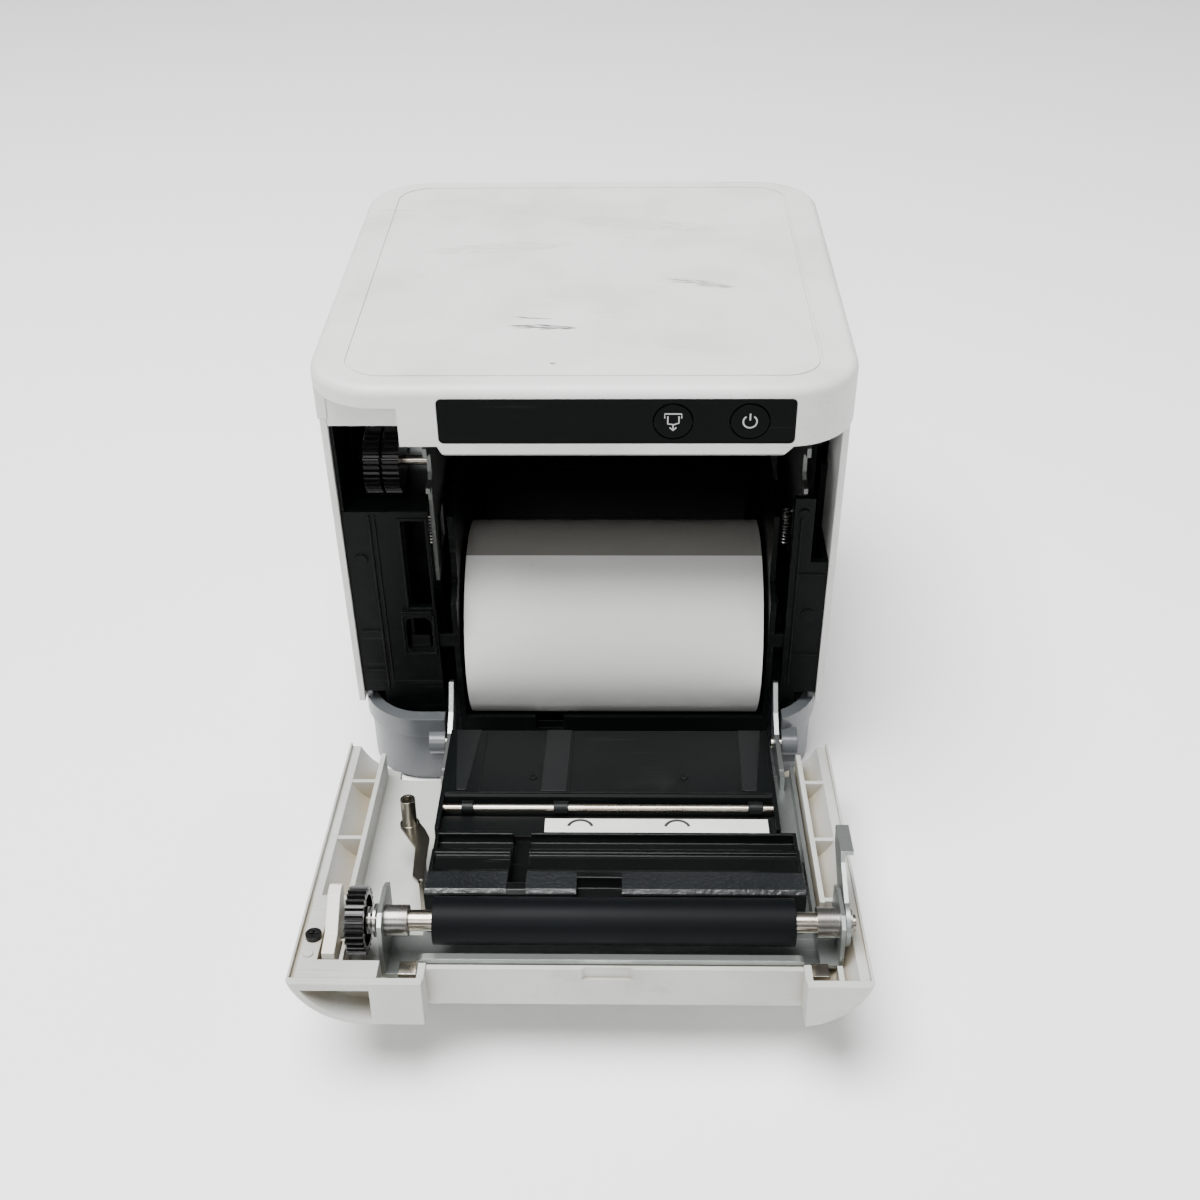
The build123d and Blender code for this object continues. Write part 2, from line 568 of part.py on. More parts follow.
def cover_webs():
    """The deck, the finger pocket and the ribs inside the skin."""
    edge = COVER_HALF - COVER_SKIN
    base = COVER_FLOOR - 0.5
    body = block(-edge, DECK_X, *DECK, DECK_Z, POCKET_FLOOR)
    body += block(-edge, POCKET_X + 1.4, *DECK, POCKET_FLOOR, COVER_TOP - 1.2)
    body += block(-edge, DECK_X, base, DECK[1], DECK_Z, DECK_Z + 1.2)
    body += block(-edge, POCKET_X, base, DECK[0], POCKET_FLOOR, POCKET_FLOOR + 1.2)
    body += block(POCKET_X, POCKET_X + 1.4, base, DECK[1], POCKET_FLOOR, COVER_TOP - 1.2)
    for x in (LEVER_X[0] - 1.6, LEVER_X[1] + 0.4):
        body += block(x, x + 1.2, base, DECK[0] + 0.4, LEVER_Z - 2, LEVER_Z + 2)
    for sign, x in ((-1, -53.6), (1, 54.8)):
        body += block(x - 0.6, x + 0.6, base, WEB_EDGE, 28.5, 84.0)
        for z in (40.0, 62.0, 83.0):
            body += block(min(x, sign * edge), max(x, sign * edge), base, WEB_EDGE, z - 0.6, z + 0.6)
    body += block(56.0, 57.2, base, -54.0, 102.0, COVER_TOP - 1.5)
    body += rod_y(-59.4, base, DECK[1] + 0.3, 102.2, 1.1)
    for x in (SLOT_X[0] - 1.6, SLOT_X[1]):
        body += block(x, x + 1.6, base, -52.5, SLOT_EDGE - 1.3, COVER_TOP - 1.2)
    body += block(*SLOT_X, base, -53.0, SLOT_EDGE - 1.3, SLOT_EDGE)
    half = COVER_HALF - 1
    return body & upright(half, -HALF + 1, 0, CORNER_R - 1, COVER_BOTTOM, COVER_TOP)


def cover_shell():
    body = cover_skin() + cover_webs()
    body -= plate_y(-56, -52, (-1.0, SLOT_EDGE + 1), (13.0, SLOT_EDGE + 1),
                    (11.0, SLOT_EDGE - 0.7), (1.0, SLOT_EDGE - 0.7))
    pocket = block(-COVER_HALF, POCKET_X, -HALF, DECK[0], POCKET_FLOOR + 1.2, COVER_TOP + 1)
    body -= pocket & cover_cavity(COVER_TOP + 1)
    body -= block(*WINDOW_X, DECK[0] - 1, DECK[1] + 1, *WINDOW_Z)
    body -= rod_y(SCREW_X, SCREW_END, DECK[1] + 1, SCREW_Z, 1.0)
    for x in (LEVER_X[0] - 1.6, LEVER_X[1] + 0.4):
        body -= rod_x(x - 0.5, x + 1.7, LEVER_Y, LEVER_Z, 1.0)
    return body


def cover_screw():
    head = rod_y(SCREW_X, DECK[1], DECK[1] + 1.1, SCREW_Z, 1.8)
    shank = rod_y(SCREW_X, SCREW_END, DECK[1], SCREW_Z, 1.0)
    body = head + shank
    for half_x, half_z in ((1.1, 0.25), (0.25, 1.1)):
        body -= block(SCREW_X - half_x, SCREW_X + half_x, DECK[1] + 0.4, DECK[1] + 2,
                      SCREW_Z - half_z, SCREW_Z + half_z)
    return body


def release_lever():
    body = plate_x(*LEVER_X, (-56.2, 92.6), (-55.6, 90.0), (-44.6, 87.0), (-43.8, 88.2),
                   (-44.2, 91.0), (-49.6, 97.5), (-50.6, 102.6), (-55.4, 102.8), (-56.2, 98.0))
    return body - rod_x(-60, -50, LEVER_Y, LEVER_Z, 1.0 + RUN)


def release_pin():
    return rod_x(LEVER_X[0] - 1.6, LEVER_X[1] + 1.6, LEVER_Y, LEVER_Z, 1.0)


CHASSIS_Y = (-59.2, -58.2)
RAISED_Y = (-55.8, -54.8)    # step of the chassis over the rounded corner of the cover
COVER_EAR_L = (-44.1, -43.1)
COVER_EAR_R = (56.5, 57.4)
BAR_Z = (101.3, 103.1)
BAR_EDGE = -51.6


def cover_chassis():
    body = block(-36.4, 52.6, *CHASSIS_Y, 30, 103.1)
    body += block(COVER_EAR_L[0], 53.6, *CHASSIS_Y, 89, 101)
    body += block(52.6, COVER_EAR_R[1], *RAISED_Y, 89, 101)
    for (x0, x1), root in ((COVER_EAR_L, CHASSIS_Y[0]), (COVER_EAR_R, RAISED_Y[0])):
        body += plate_x(x0, x1, (root, 89), (-52, 86.5), (-44.5, 86.5), (-42.6, 90),
                        (-42.6, 98.5), (-44.5, 101), (-52, 101.5), (root, 101))
        body -= rod_x(x0 - 1, x1 + 1, PLATEN_Y, PLATEN_Z, 2.9)
    body += rounded_bar()
    body += block(52.6, 53.6, CHASSIS_Y[0], RAISED_Y[1], 30, 101)
    body += block(48.6, 53.6, *CHASSIS_Y, 30, 89)
    return body - block(*ARM_R, -60, -55, 29, 36)


def rounded_bar():
    """The upturned edge of the chassis, which is the fixed blade of the cutter."""
    face = Pos(6.7, (CHASSIS_Y[0] + BAR_EDGE) / 2) * Rectangle(84.6, BAR_EDGE - CHASSIS_Y[0])
    bar = Pos(0, 0, BAR_Z[0]) * extrude(face, BAR_Z[1] - BAR_Z[0])
    corners = bar.edges().filter_by(Axis.Z).group_by(Axis.Y)[-1]
    return fillet(corners, 1.5)


def platen_bushings():
    left = ring_x(COVER_EAR_L[1], -37.9, PLATEN_Y, PLATEN_Z, BUSH_R, SHAFT_R + RUN)
    left += ring_x(*COVER_EAR_L, PLATEN_Y, PLATEN_Z, 2.9, SHAFT_R + RUN)
    right = ring_x(51.7, COVER_EAR_R[0], PLATEN_Y, PLATEN_Z, BUSH_R, SHAFT_R + RUN)
    right += ring_x(*COVER_EAR_R, PLATEN_Y, PLATEN_Z, 2.9, SHAFT_R + RUN)
    return Compound(children=[left, right])


def guide_blocks():
    blocks = [block(x, x + 3.9, -58.2, -54.0, 101.4, 105.2) for x in (-39.6, 50.2)]
    return Compound(children=blocks)


SHAFT_Y, SHAFT_Z = -52.3, 50.6   # thin guide shaft across the tray
GUIDE_X = (-35.5, 50.4)
TRAY_X = (-35.5, 46.3)
TRAY_BACK = CHASSIS_Y[1] + 0.1


def inner_tray():
    body = plate_x(*TRAY_X, (TRAY_BACK, 20.0), (-52.0, 19.0), (-50.5, 20.5), (-50.5, 47.0),
                   (-51.2, 47.6), (-55.0, 48.2), (-55.0, 52.6), (-53.2, 52.8), (-53.2, 60.3),
                   (TRAY_BACK, 60.3))
    body += block(TRAY_X[0] - 1.1, TRAY_X[0], TRAY_BACK, -50.6, 20, 60.3)
    body += block(TRAY_X[1], TRAY_X[1] + 1.1, TRAY_BACK, -50.6, 20, 60.3)
    body += block(TRAY_X[0], GUIDE_X[1], TRAY_BACK, -56.6, 60.3, 88)
    body -= rod_x(-40, 50, SHAFT_Y, SHAFT_Z, 1.0 + RUN)
    for x0, x1 in ((-30.2, -26.8), (-9.0, -4.0), (39.8, 43.4)):
        body += block(x0, x1, -50.6, -50.2, 21.5, 47.0)
    return body


def guide_shaft():
    return rod_x(TRAY_X[0] - 0.9, TRAY_X[1] + 0.9, SHAFT_Y, SHAFT_Z, 1.0)


COLLARS = ((-30.9, -28.0), (-8.0, -4.4), (40.2, 43.8))


def shaft_collars():
    rings = [ring_x(x0, x1, SHAFT_Y, SHAFT_Z, 1.8, 1.0) for x0, x1 in COLLARS]
    return Compound(children=rings)


def guide_label():
    return block(-10.0, 44.8, -53.2, -53.05, 53.7, 59.0)


def paper_guide():
    body = plate_x(*GUIDE_X, (-56.5, 60.5), (-53.0, 60.5), (-49.0, 63.8), (-48.2, 64.6),
                   (-48.2, 70.8), (-47.2, 72.0), (-46.9, 80.0), (-46.4, 80.6), (-46.0, 87.0),
                   (-46.8, 87.9), (-56.5, 87.9))
    x0, x1 = GUIDE_X[0] + 0.8, GUIDE_X[1] - 0.8
    body -= block(x0, x1, -51.0, -40, 65.3, 70.6)
    body -= block(x0, x1, -48.0, -40, 73.2, 79.4)
    body -= block(-17.0, -12.7, -54.3, -40, 60, 84.5)
    body -= block(-1.2, 9.0, -49.5, -40, 82.6, 90)
    return body


def hinge_arm(x0, x1):
    """Curved steel arm from the chassis round the hinge pin into the base."""
    arm = plate_x(x0, x1, (-58.2, 33.0), (-59.6, 29.0), (-60.6, 17.0), (-59.4, 13.4),
                  (-54.6, 10.6), (-46.0, 6.9), (-43.6, 6.7), (-42.9, 8.8), (-49.5, 13.5),
                  (-53.0, 18.5), (-53.6, 33.0))
    arm += block(x0, x1, CHASSIS_Y[1], -54.0, 30, 36)
    return arm - rod_x(x0 - 1, x1 + 1, HINGE_Y, HINGE_Z, PIN_R + RUN)


def hinge_arm_left():
    tab = block(ARM_L[0], -36.4, *CHASSIS_Y, 32, 36)
    return hinge_arm(*ARM_L) + tab


STRIP_Y = (-50.9, -50.0)
STUD_TIP = -42.6


def interlock_stud():
    """Hollow stud on a bent steel strip, which reaches into the case when shut."""
    body = rod_y(STUD_X, STRIP_Y[1], STUD_TIP, STUD_Z, 1.8)
    body -= rod_y(STUD_X, STUD_TIP - 2.4, STUD_TIP + 1, STUD_Z, 1.1)
    body += rod_y(STUD_X, *STRIP_Y, STUD_Z, 2.4)
    body += plate_y(*STRIP_Y, (-44.6, 60.6), (-41.4, 57.3), (-38.6, 61.5), (-37.2, 64.5),
                    (-37.0, 79.0), (-38.0, 80.0), (-39.6, 78.0), (-40.2, 68.0))
    body += block(-38.0, -37.0, CHASSIS_Y[0], STRIP_Y[1], 73, 79.6)
    body += block(-38.0, -36.4, *CHASSIS_Y, 73, 79.6)
    return body


STUB_R = 1.9                     # shaft end beyond the right bushing
SHAFT_LEFT_R = 1.5               # shaft end under the gear


def platen_shaft():
    body = rod_x(-43.9, 57.3, PLATEN_Y, PLATEN_Z, SHAFT_R)
    body += rod_x(-51.6, -43.9, PLATEN_Y, PLATEN_Z, SHAFT_LEFT_R)
    return body + rod_x(57.3, 60.2, PLATEN_Y, PLATEN_Z, STUB_R)


def platen_rubber():
    return ring_x(*PLATEN_X, PLATEN_Y, PLATEN_Z, PLATEN_R, SHAFT_R)


def platen_gear():
    body = gear(PLATEN_TEETH, *INNER_PLANE, PLATEN_Y, PLATEN_Z, SHAFT_LEFT_R, PLATEN_PHASE)
    body -= ring_x(INNER_PLANE[1] - 0.8, INNER_PLANE[1] + 1, PLATEN_Y, PLATEN_Z, 5.6, 3.0)
    return body


def platen_clips():
    rings = [ring_x(x0, x1, PLATEN_Y, PLATEN_Z, r, SHAFT_LEFT_R)
             for x0, x1, r in ((-46.5, -46.1, 3.0), (-45.4, -44.9, 3.7))]
    rings.append(ring_x(58.8, 59.3, PLATEN_Y, PLATEN_Z, 3.2, STUB_R))
    return Compound(children=rings)


LOCK_X = (57.6, 58.6)


def lock_lever():
    """Steel lever on the end of the platen shaft, with a bent finger tab."""
    body = rod_x(*LOCK_X, PLATEN_Y, PLATEN_Z, 5.2)
    body += plate_x(*LOCK_X, (-52.0, 93.0), (-46.4, 84.5), (-40.2, 76.0), (-36.4, 76.0),
                    (-36.4, 84.8), (-38.2, 86.4), (-42.4, 95.0), (-45.0, 99.0))
    body += block(LOCK_X[0], 60.5, -37.5, -36.4, 75.6, 84.8)
    return body - rod_x(LOCK_X[0] - 1, LOCK_X[1] + 1, PLATEN_Y, PLATEN_Z, STUB_R + RUN)


# ---- write the nodes ------------------------------------------------------------------
case_nodes = {
    "base_tray": base_tray(), "rubber_feet": rubber_feet(), "hinge_pins": hinge_pins(),
    "side_shell": side_shell(), "top_cover": top_cover(), "control_panel": control_panel(),
    "button_board": button_board(), "main_frame": main_frame(), "left_block": left_block(),
    "right_panel": right_panel(), "frame_plate_left": side_plate(*PLATE_L),
    "frame_plate_right": side_plate(*PLATE_R), "mechanism_bridge": mechanism_bridge(),
    "spring_plate": spring_plate(), "head_springs": head_springs(), "head_shaft": head_shaft(),
    "thermal_head": thermal_head(), "heat_sink": heat_sink(), "cutter_blade": cutter_blade(),
    "cutter_frame": cutter_frame(), "cutter_motor": cutter_motor(), "feed_motor": feed_motor(),
    "motor_bracket": motor_bracket(), "gear_studs": gear_studs(), "idler_gear": idler_gear(),
    "second_gear": second_gear(), "motor_pinion": motor_pinion(), "motor_shaft": motor_shaft(),
    "main_board": main_board(), "connector_panel": connector_panel(),
    "case_screws": case_screws(), "paper_roll": paper_roll(), "paper_core": paper_core(),
}
case_nodes.update({name: button(x) for name, x in BUTTON_X.items()})
case_nodes.update({name: socket(name) for name in SOCKETS})

cover_nodes = {
    "cover_shell": cover_shell(), "cover_screw": cover_screw(), "release_lever": release_lever(),
    "release_pin": release_pin(), "cover_chassis": cover_chassis(),
    "platen_bushings": platen_bushings(), "guide_blocks": guide_blocks(),
    "inner_tray": inner_tray(), "guide_shaft": guide_shaft(), "shaft_collars": shaft_collars(),
    "guide_label": guide_label(), "paper_guide": paper_guide(),
    "hinge_arm_left": hinge_arm_left(), "hinge_arm_right": hinge_arm(*ARM_R),
    "interlock_stud": interlock_stud(), "platen_shaft": platen_shaft(),
    "platen_rubber": platen_rubber(), "platen_gear": platen_gear(),
    "platen_clips": platen_clips(), "lock_lever": lock_lever(),
}

for name, shape in case_nodes.items():
    export_step(shape, f"parts/{name}.step")
for name, shape in cover_nodes.items():
    export_step(OPEN * shape, f"parts/{name}.step")
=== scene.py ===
import bpy
import bmesh
import json
import random
from math import cos, pi, radians, sin
from mathutils import Matrix, Vector


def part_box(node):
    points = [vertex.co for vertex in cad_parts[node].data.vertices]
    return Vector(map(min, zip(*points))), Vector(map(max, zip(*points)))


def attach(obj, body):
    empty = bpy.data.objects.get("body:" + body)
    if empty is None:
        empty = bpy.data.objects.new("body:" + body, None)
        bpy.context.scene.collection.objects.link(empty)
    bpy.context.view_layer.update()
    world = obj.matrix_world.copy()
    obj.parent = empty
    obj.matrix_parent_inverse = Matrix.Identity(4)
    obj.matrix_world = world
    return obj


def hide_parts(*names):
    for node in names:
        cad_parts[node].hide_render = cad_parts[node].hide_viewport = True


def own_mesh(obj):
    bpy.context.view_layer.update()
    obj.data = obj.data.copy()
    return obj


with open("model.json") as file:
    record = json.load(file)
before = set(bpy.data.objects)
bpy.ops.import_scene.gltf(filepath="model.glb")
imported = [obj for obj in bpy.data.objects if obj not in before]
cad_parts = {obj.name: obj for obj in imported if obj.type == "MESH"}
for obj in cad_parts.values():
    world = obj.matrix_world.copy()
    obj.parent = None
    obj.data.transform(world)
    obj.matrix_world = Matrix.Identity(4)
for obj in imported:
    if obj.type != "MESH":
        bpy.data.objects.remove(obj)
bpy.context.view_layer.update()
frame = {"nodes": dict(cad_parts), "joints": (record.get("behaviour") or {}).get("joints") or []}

# ---- Camera, floor and lights ----------------------------------------------
# A 43 mm view from the front and above, over a pale seamless table, under one
# broad soft light overhead, a weak one in front and a weaker one at the right.
MM = 0.001
CAMERA_PLACE = Vector((9.94, -347.35, 280.10)) * MM
PITCH, YAW, ROLL = radians(36.7007), radians(-1.3075), radians(-0.6973)


def turn(angle):
    return Matrix(((cos(angle), -sin(angle), 0), (sin(angle), cos(angle), 0), (0, 0, 1)))


look = Matrix(((1, 0, 0), (0, -sin(PITCH), -cos(PITCH)), (0, cos(PITCH), -sin(PITCH))))
right, down, ahead = turn(ROLL) @ look @ turn(YAW)
camera_data = bpy.data.cameras.new("camera")
camera_data.lens, camera_data.sensor_width = 43.2, 36
camera_data.clip_start = 0.01
camera = bpy.data.objects.new("camera", camera_data)
camera.matrix_world = Matrix.Translation(CAMERA_PLACE) @ Matrix(
    (right, -down, -ahead)).transposed().to_4x4()
bpy.context.scene.collection.objects.link(camera)
bpy.context.scene.camera = camera

FLOOR_HALF = 3.0
floor_mesh = bpy.data.meshes.new("floor")
floor_mesh.from_pydata([(x * FLOOR_HALF, y * FLOOR_HALF, 0) for x, y in
                        ((-1, -1), (1, -1), (1, 1), (-1, 1))], [], [(0, 1, 2, 3)])
floor = bpy.data.objects.new("floor", floor_mesh)
bpy.context.scene.collection.objects.link(floor)
FLOOR_WHITE, FLOOR_ROUGHNESS, SURROUND = 0.95, 0.8, 0.2
floor_finish = bpy.data.materials.new("pale_table")
floor_finish.use_nodes = True
floor_shader = floor_finish.node_tree.nodes["Principled BSDF"]
floor_shader.inputs["Base Color"].default_value = (*[FLOOR_WHITE] * 3, 1)
floor_shader.inputs["Roughness"].default_value = FLOOR_ROUGHNESS
floor_mesh.materials.append(floor_finish)

LIT_POINT = Vector((0, -0.04, 0.05))
for name, place, size, power in (("overhead", (-0.25, -0.2, 1.3), 1.0, 54),
                                 ("front", (-0.15, -1.35, 1.0), 0.6, 8),
                                 ("right_side", (1.1, -0.2, 0.6), 0.7, 3)):
    lamp = bpy.data.lights.new(name, "AREA")
    lamp.shape, lamp.size, lamp.energy = "DISK", size, power
    lamp_object = bpy.data.objects.new(name, lamp)
    lamp_object.location = place
    aim = LIT_POINT - Vector(place)
    lamp_object.rotation_euler = aim.to_track_quat("-Z", "Y").to_euler()
    bpy.context.scene.collection.objects.link(lamp_object)
studio = bpy.data.worlds.new("studio")
studio.use_nodes = True
studio.node_tree.nodes["Background"].inputs["Color"].default_value = (1, 1, 1, 1)
studio.node_tree.nodes["Background"].inputs["Strength"].default_value = SURROUND
bpy.context.scene.world = studio


# ---- Case mouldings --------------------------------------------------------
# The side shell and the top cover are injection-moulded in warm white plastic
# with a fine spark texture.  Years on a counter have left grey rubs, hairline
# scratches and a yellow-brown film in the corners; that darkening in the
# corners is also painted shade.
def effect(name, inputs, outputs):
    """An empty shader node group with named inputs and outputs."""
    tree = bpy.data.node_groups.new(name, "ShaderNodeTree")
    for label, kind, value in inputs:
        socket = tree.interface.new_socket(label, in_out="INPUT", socket_type=kind)
        if value is not None:
            socket.default_value = value
    for label, kind in outputs:
        tree.interface.new_socket(label, in_out="OUTPUT", socket_type=kind)
    return tree, tree.nodes.new("NodeGroupInput"), tree.nodes.new("NodeGroupOutput")


def node(tree, kind, **settings):
    made = tree.nodes.new(kind)
    for key, value in settings.items():
        setattr(made, key, value)
    return made


def sums(tree, operation, a, b, clamp=False):
    """A Math node; a and b are sockets or numbers."""
    made = node(tree, "ShaderNodeMath", operation=operation, use_clamp=clamp)
    for index, value in enumerate((a, b)):
        if isinstance(value, (int, float)):
            made.inputs[index].default_value = value
        else:
            tree.links.new(value, made.inputs[index])
    return made.outputs[0]


def ramp(tree, value, low, high):
    """0 below low and 1 above high, smooth between."""
    made = node(tree, "ShaderNodeMapRange", interpolation_type="SMOOTHSTEP")
    made.inputs["From Min"].default_value, made.inputs["From Max"].default_value = low, high
    tree.links.new(value, made.inputs["Value"])
    return made.outputs["Result"]


F, V = "NodeSocketFloat", "NodeSocketVector"

# Fine texture: a mix of small and larger noise, in sizes given in millimetres.
moulded, g_in, g_out = effect("moulded_texture",
                              [("Vector", V, None), ("Size", F, 0.4), ("Blotch", F, 25.0)],
                              [("Grain", F), ("Cloud", F)])
for source, target, detail in (("Size", "Grain", 3.0), ("Blotch", "Cloud", 4.0)):
    noise = node(moulded, "ShaderNodeTexNoise")
    noise.inputs["Detail"].default_value = detail
    moulded.links.new(g_in.outputs["Vector"], noise.inputs["Vector"])
    moulded.links.new(sums(moulded, "DIVIDE", 1000.0, g_in.outputs[source]), noise.inputs["Scale"])
    moulded.links.new(noise.outputs["Fac"], g_out.inputs[target])

# Hairline scratches: two sets of long thin marks at different angles, in patches.
hairlines, g_in, g_out = effect("hairline_scratches",
                                [("Vector", V, None), ("Amount", F, 0.5)], [("Mask", F)])
marks = []
for angle, spread in ((0.35, 1100.0), (-1.1, 1500.0)):
    mapping = node(hairlines, "ShaderNodeMapping")
    mapping.inputs["Rotation"].default_value = (angle, angle * 0.7, angle)
    mapping.inputs["Scale"].default_value = (34.0, spread, spread)
    hairlines.links.new(g_in.outputs["Vector"], mapping.inputs["Vector"])
    noise = node(hairlines, "ShaderNodeTexNoise")
    noise.inputs["Scale"].default_value, noise.inputs["Detail"].default_value = 1.0, 1.0
    hairlines.links.new(mapping.outputs["Vector"], noise.inputs["Vector"])
    marks.append(ramp(hairlines, noise.outputs["Fac"], 0.66, 0.74))
patch = node(hairlines, "ShaderNodeTexNoise")
patch.inputs["Scale"].default_value = 38.0
hairlines.links.new(g_in.outputs["Vector"], patch.inputs["Vector"])
both = sums(hairlines, "MAXIMUM", marks[0], marks[1])
both = sums(hairlines, "MULTIPLY", both, ramp(hairlines, patch.outputs["Fac"], 0.5, 0.66))
hairlines.links.new(sums(hairlines, "MULTIPLY", both, g_in.outputs["Amount"]), g_out.inputs["Mask"])

# Rubbed-on grime: broad smudges, broken up by finer noise.
smudges, g_in, g_out = effect("smudges",
                              [("Vector", V, None), ("Spread", F, 30.0), ("Cover", F, 0.3)],
                              [("Mask", F)])
layers = []
for factor in (1.0, 7.0):
    noise = node(smudges, "ShaderNodeTexNoise")
    noise.inputs["Detail"].default_value, noise.inputs["Roughness"].default_value = 5.0, 0.6
    smudges.links.new(g_in.outputs["Vector"], noise.inputs["Vector"])
    smudges.links.new(sums(smudges, "DIVIDE", 1000.0 * factor, g_in.outputs["Spread"]),
                      noise.inputs["Scale"])
    layers.append(noise.outputs["Fac"])
mixed = sums(smudges, "ADD", sums(smudges, "MULTIPLY", layers[0], 0.7),
             sums(smudges, "MULTIPLY", layers[1], 0.3))
threshold = sums(smudges, "SUBTRACT", 0.72, sums(smudges, "MULTIPLY", g_in.outputs["Cover"], 0.35))
level = sums(smudges, "MULTIPLY", sums(smudges, "SUBTRACT", mixed, threshold), 9.0, clamp=True)
smudges.links.new(level, g_out.inputs["Mask"])

# A rub mark: streaks within an oval patch, as left by something dragged across.
rub_patch, g_in, g_out = effect("rub_patch", [("Vector", V, None), ("Centre", V, None),
                                              ("Half Size", V, None), ("Slant", F, 0.0)],
                                [("Mask", F)])
offset = node(rub_patch, "ShaderNodeVectorMath", operation="SUBTRACT")
rub_patch.links.new(g_in.outputs["Vector"], offset.inputs[0])
rub_patch.links.new(g_in.outputs["Centre"], offset.inputs[1])
turned = node(rub_patch, "ShaderNodeVectorRotate", rotation_type="Z_AXIS")
rub_patch.links.new(offset.outputs["Vector"], turned.inputs["Vector"])
rub_patch.links.new(g_in.outputs["Slant"], turned.inputs["Angle"])
scaled = node(rub_patch, "ShaderNodeVectorMath", operation="DIVIDE")
rub_patch.links.new(turned.outputs["Vector"], scaled.inputs[0])
rub_patch.links.new(g_in.outputs["Half Size"], scaled.inputs[1])
distance = node(rub_patch, "ShaderNodeVectorMath", operation="LENGTH")
rub_patch.links.new(scaled.outputs["Vector"], distance.inputs[0])
inside = ramp(rub_patch, sums(rub_patch, "SUBTRACT", 1.0, distance.outputs["Value"]), 0.0, 0.35)
mapping = node(rub_patch, "ShaderNodeMapping")
mapping.inputs["Scale"].default_value = (190.0, 1500.0, 300.0)
rub_patch.links.new(turned.outputs["Vector"], mapping.inputs["Vector"])
noise = node(rub_patch, "ShaderNodeTexNoise")
noise.inputs["Scale"].default_value, noise.inputs["Detail"].default_value = 1.0, 3.0
rub_patch.links.new(mapping.outputs["Vector"], noise.inputs["Vector"])
streaks = ramp(rub_patch, noise.outputs["Fac"], 0.42, 0.54)
rub_patch.links.new(sums(rub_patch, "MULTIPLY", inside, streaks), g_out.inputs["Mask"])


def finish(name, colour, roughness, shade=None, metallic=0.0, coat=0.0, grain=0.4, bump=0.02,
           grime=None, cover=0.3, scratches=0.0, scratch_colour=None, stretch=(1, 1, 1),
           corner_dirt_and_shade=None, reach=5.0, soften=0.25, uneven=0.12, specular=0.5, rubs=()):
    """A procedural surface.  Sizes are in millimetres and stretch lengthens the grain."""
    made = bpy.data.materials.new(name)
    made.use_nodes = True
    tree = made.node_tree
    shader = tree.nodes["Principled BSDF"]
    place = node(tree, "ShaderNodeTexCoord").outputs["Object"]
    mapping = node(tree, "ShaderNodeMapping")
    mapping.inputs["Scale"].default_value = stretch
    tree.links.new(place, mapping.inputs["Vector"])
    texture = node(tree, "ShaderNodeGroup", node_tree=moulded)
    texture.inputs["Size"].default_value = grain
    tree.links.new(mapping.outputs["Vector"], texture.inputs["Vector"])

    def mix(below, above, mask):
        blender = node(tree, "ShaderNodeMix", data_type="RGBA")
        for index, value in ((6, below), (7, above)):
            if isinstance(value, tuple):
                blender.inputs[index].default_value = (*value, 1)
            else:
                tree.links.new(value, blender.inputs[index])
        tree.links.new(mask, blender.inputs[0])
        return blender.outputs[2]

    shade = shade or tuple(c * 0.82 for c in colour)
    surface = mix(colour, shade, ramp(tree, texture.outputs["Cloud"], 0.35, 0.75))
    surface = mix(surface, shade, sums(tree, "MULTIPLY",
                                       ramp(tree, texture.outputs["Grain"], 0.45, 0.8), 0.5))
    rough = sums(tree, "ADD", sums(tree, "MULTIPLY", texture.outputs["Cloud"], uneven),
                 roughness - uneven / 2)
    if grime:
        film = node(tree, "ShaderNodeGroup", node_tree=smudges)
        film.inputs["Cover"].default_value = cover
        tree.links.new(place, film.inputs["Vector"])
        surface = mix(surface, grime, sums(tree, "MULTIPLY", film.outputs["Mask"], 0.55))
        rough = sums(tree, "ADD", rough, sums(tree, "MULTIPLY", film.outputs["Mask"], 0.08))
    if scratches:
        lines = node(tree, "ShaderNodeGroup", node_tree=hairlines)
        lines.inputs["Amount"].default_value = scratches
        tree.links.new(place, lines.inputs["Vector"])
        surface = mix(surface, scratch_colour or tuple(c * 0.45 for c in colour),
                      lines.outputs["Mask"])
    for centre, half, slant, tint in rubs:
        rub = node(tree, "ShaderNodeGroup", node_tree=rub_patch)
        rub.inputs["Centre"].default_value = Vector(centre) * MM
        rub.inputs["Half Size"].default_value = Vector(half) * MM
        rub.inputs["Slant"].default_value = slant
        tree.links.new(place, rub.inputs["Vector"])
        surface = mix(surface, tint, rub.outputs["Mask"])
    # Near corners, found by ambient occlusion, the colour moves towards the corner colour: on the
    # white mouldings a darker yellow-brown that is dirt and painted shade together, on the black
    # ones paler dust.
    if corner_dirt_and_shade:
        corner = node(tree, "ShaderNodeAmbientOcclusion", samples=6)
        corner.inputs["Distance"].default_value = reach * MM
        closed = sums(tree, "SUBTRACT", 1.0, corner.outputs["AO"])
        closed = sums(tree, "MULTIPLY", ramp(tree, closed, 0.25, 0.8), texture.outputs["Cloud"])
        surface = mix(surface, corner_dirt_and_shade, sums(tree, "MULTIPLY", closed, 1.5, clamp=True))
    tree.links.new(surface, shader.inputs["Base Color"])
    tree.links.new(rough, shader.inputs["Roughness"])
    shader.inputs["Metallic"].default_value = metallic
    shader.inputs["Coat Weight"].default_value = coat
    shader.inputs["Coat Roughness"].default_value = 0.12
    shader.inputs["Specular IOR Level"].default_value = specular
    relief = node(tree, "ShaderNodeBump")
    relief.inputs["Distance"].default_value = bump * MM
    relief.inputs["Strength"].default_value = 0.8
    tree.links.new(texture.outputs["Grain"], relief.inputs["Height"])
    if soften:
        worn = node(tree, "ShaderNodeBevel", samples=4)
        worn.inputs["Radius"].default_value = soften * MM
        tree.links.new(worn.outputs["Normal"], relief.inputs["Normal"])
    tree.links.new(relief.outputs["Normal"], shader.inputs["Normal"])
    return made


def paint(material, *names):
    """Gives CAD nodes a finished material."""
    for name in names:
        for place in frame["nodes"][name].material_slots:
            place.material = material


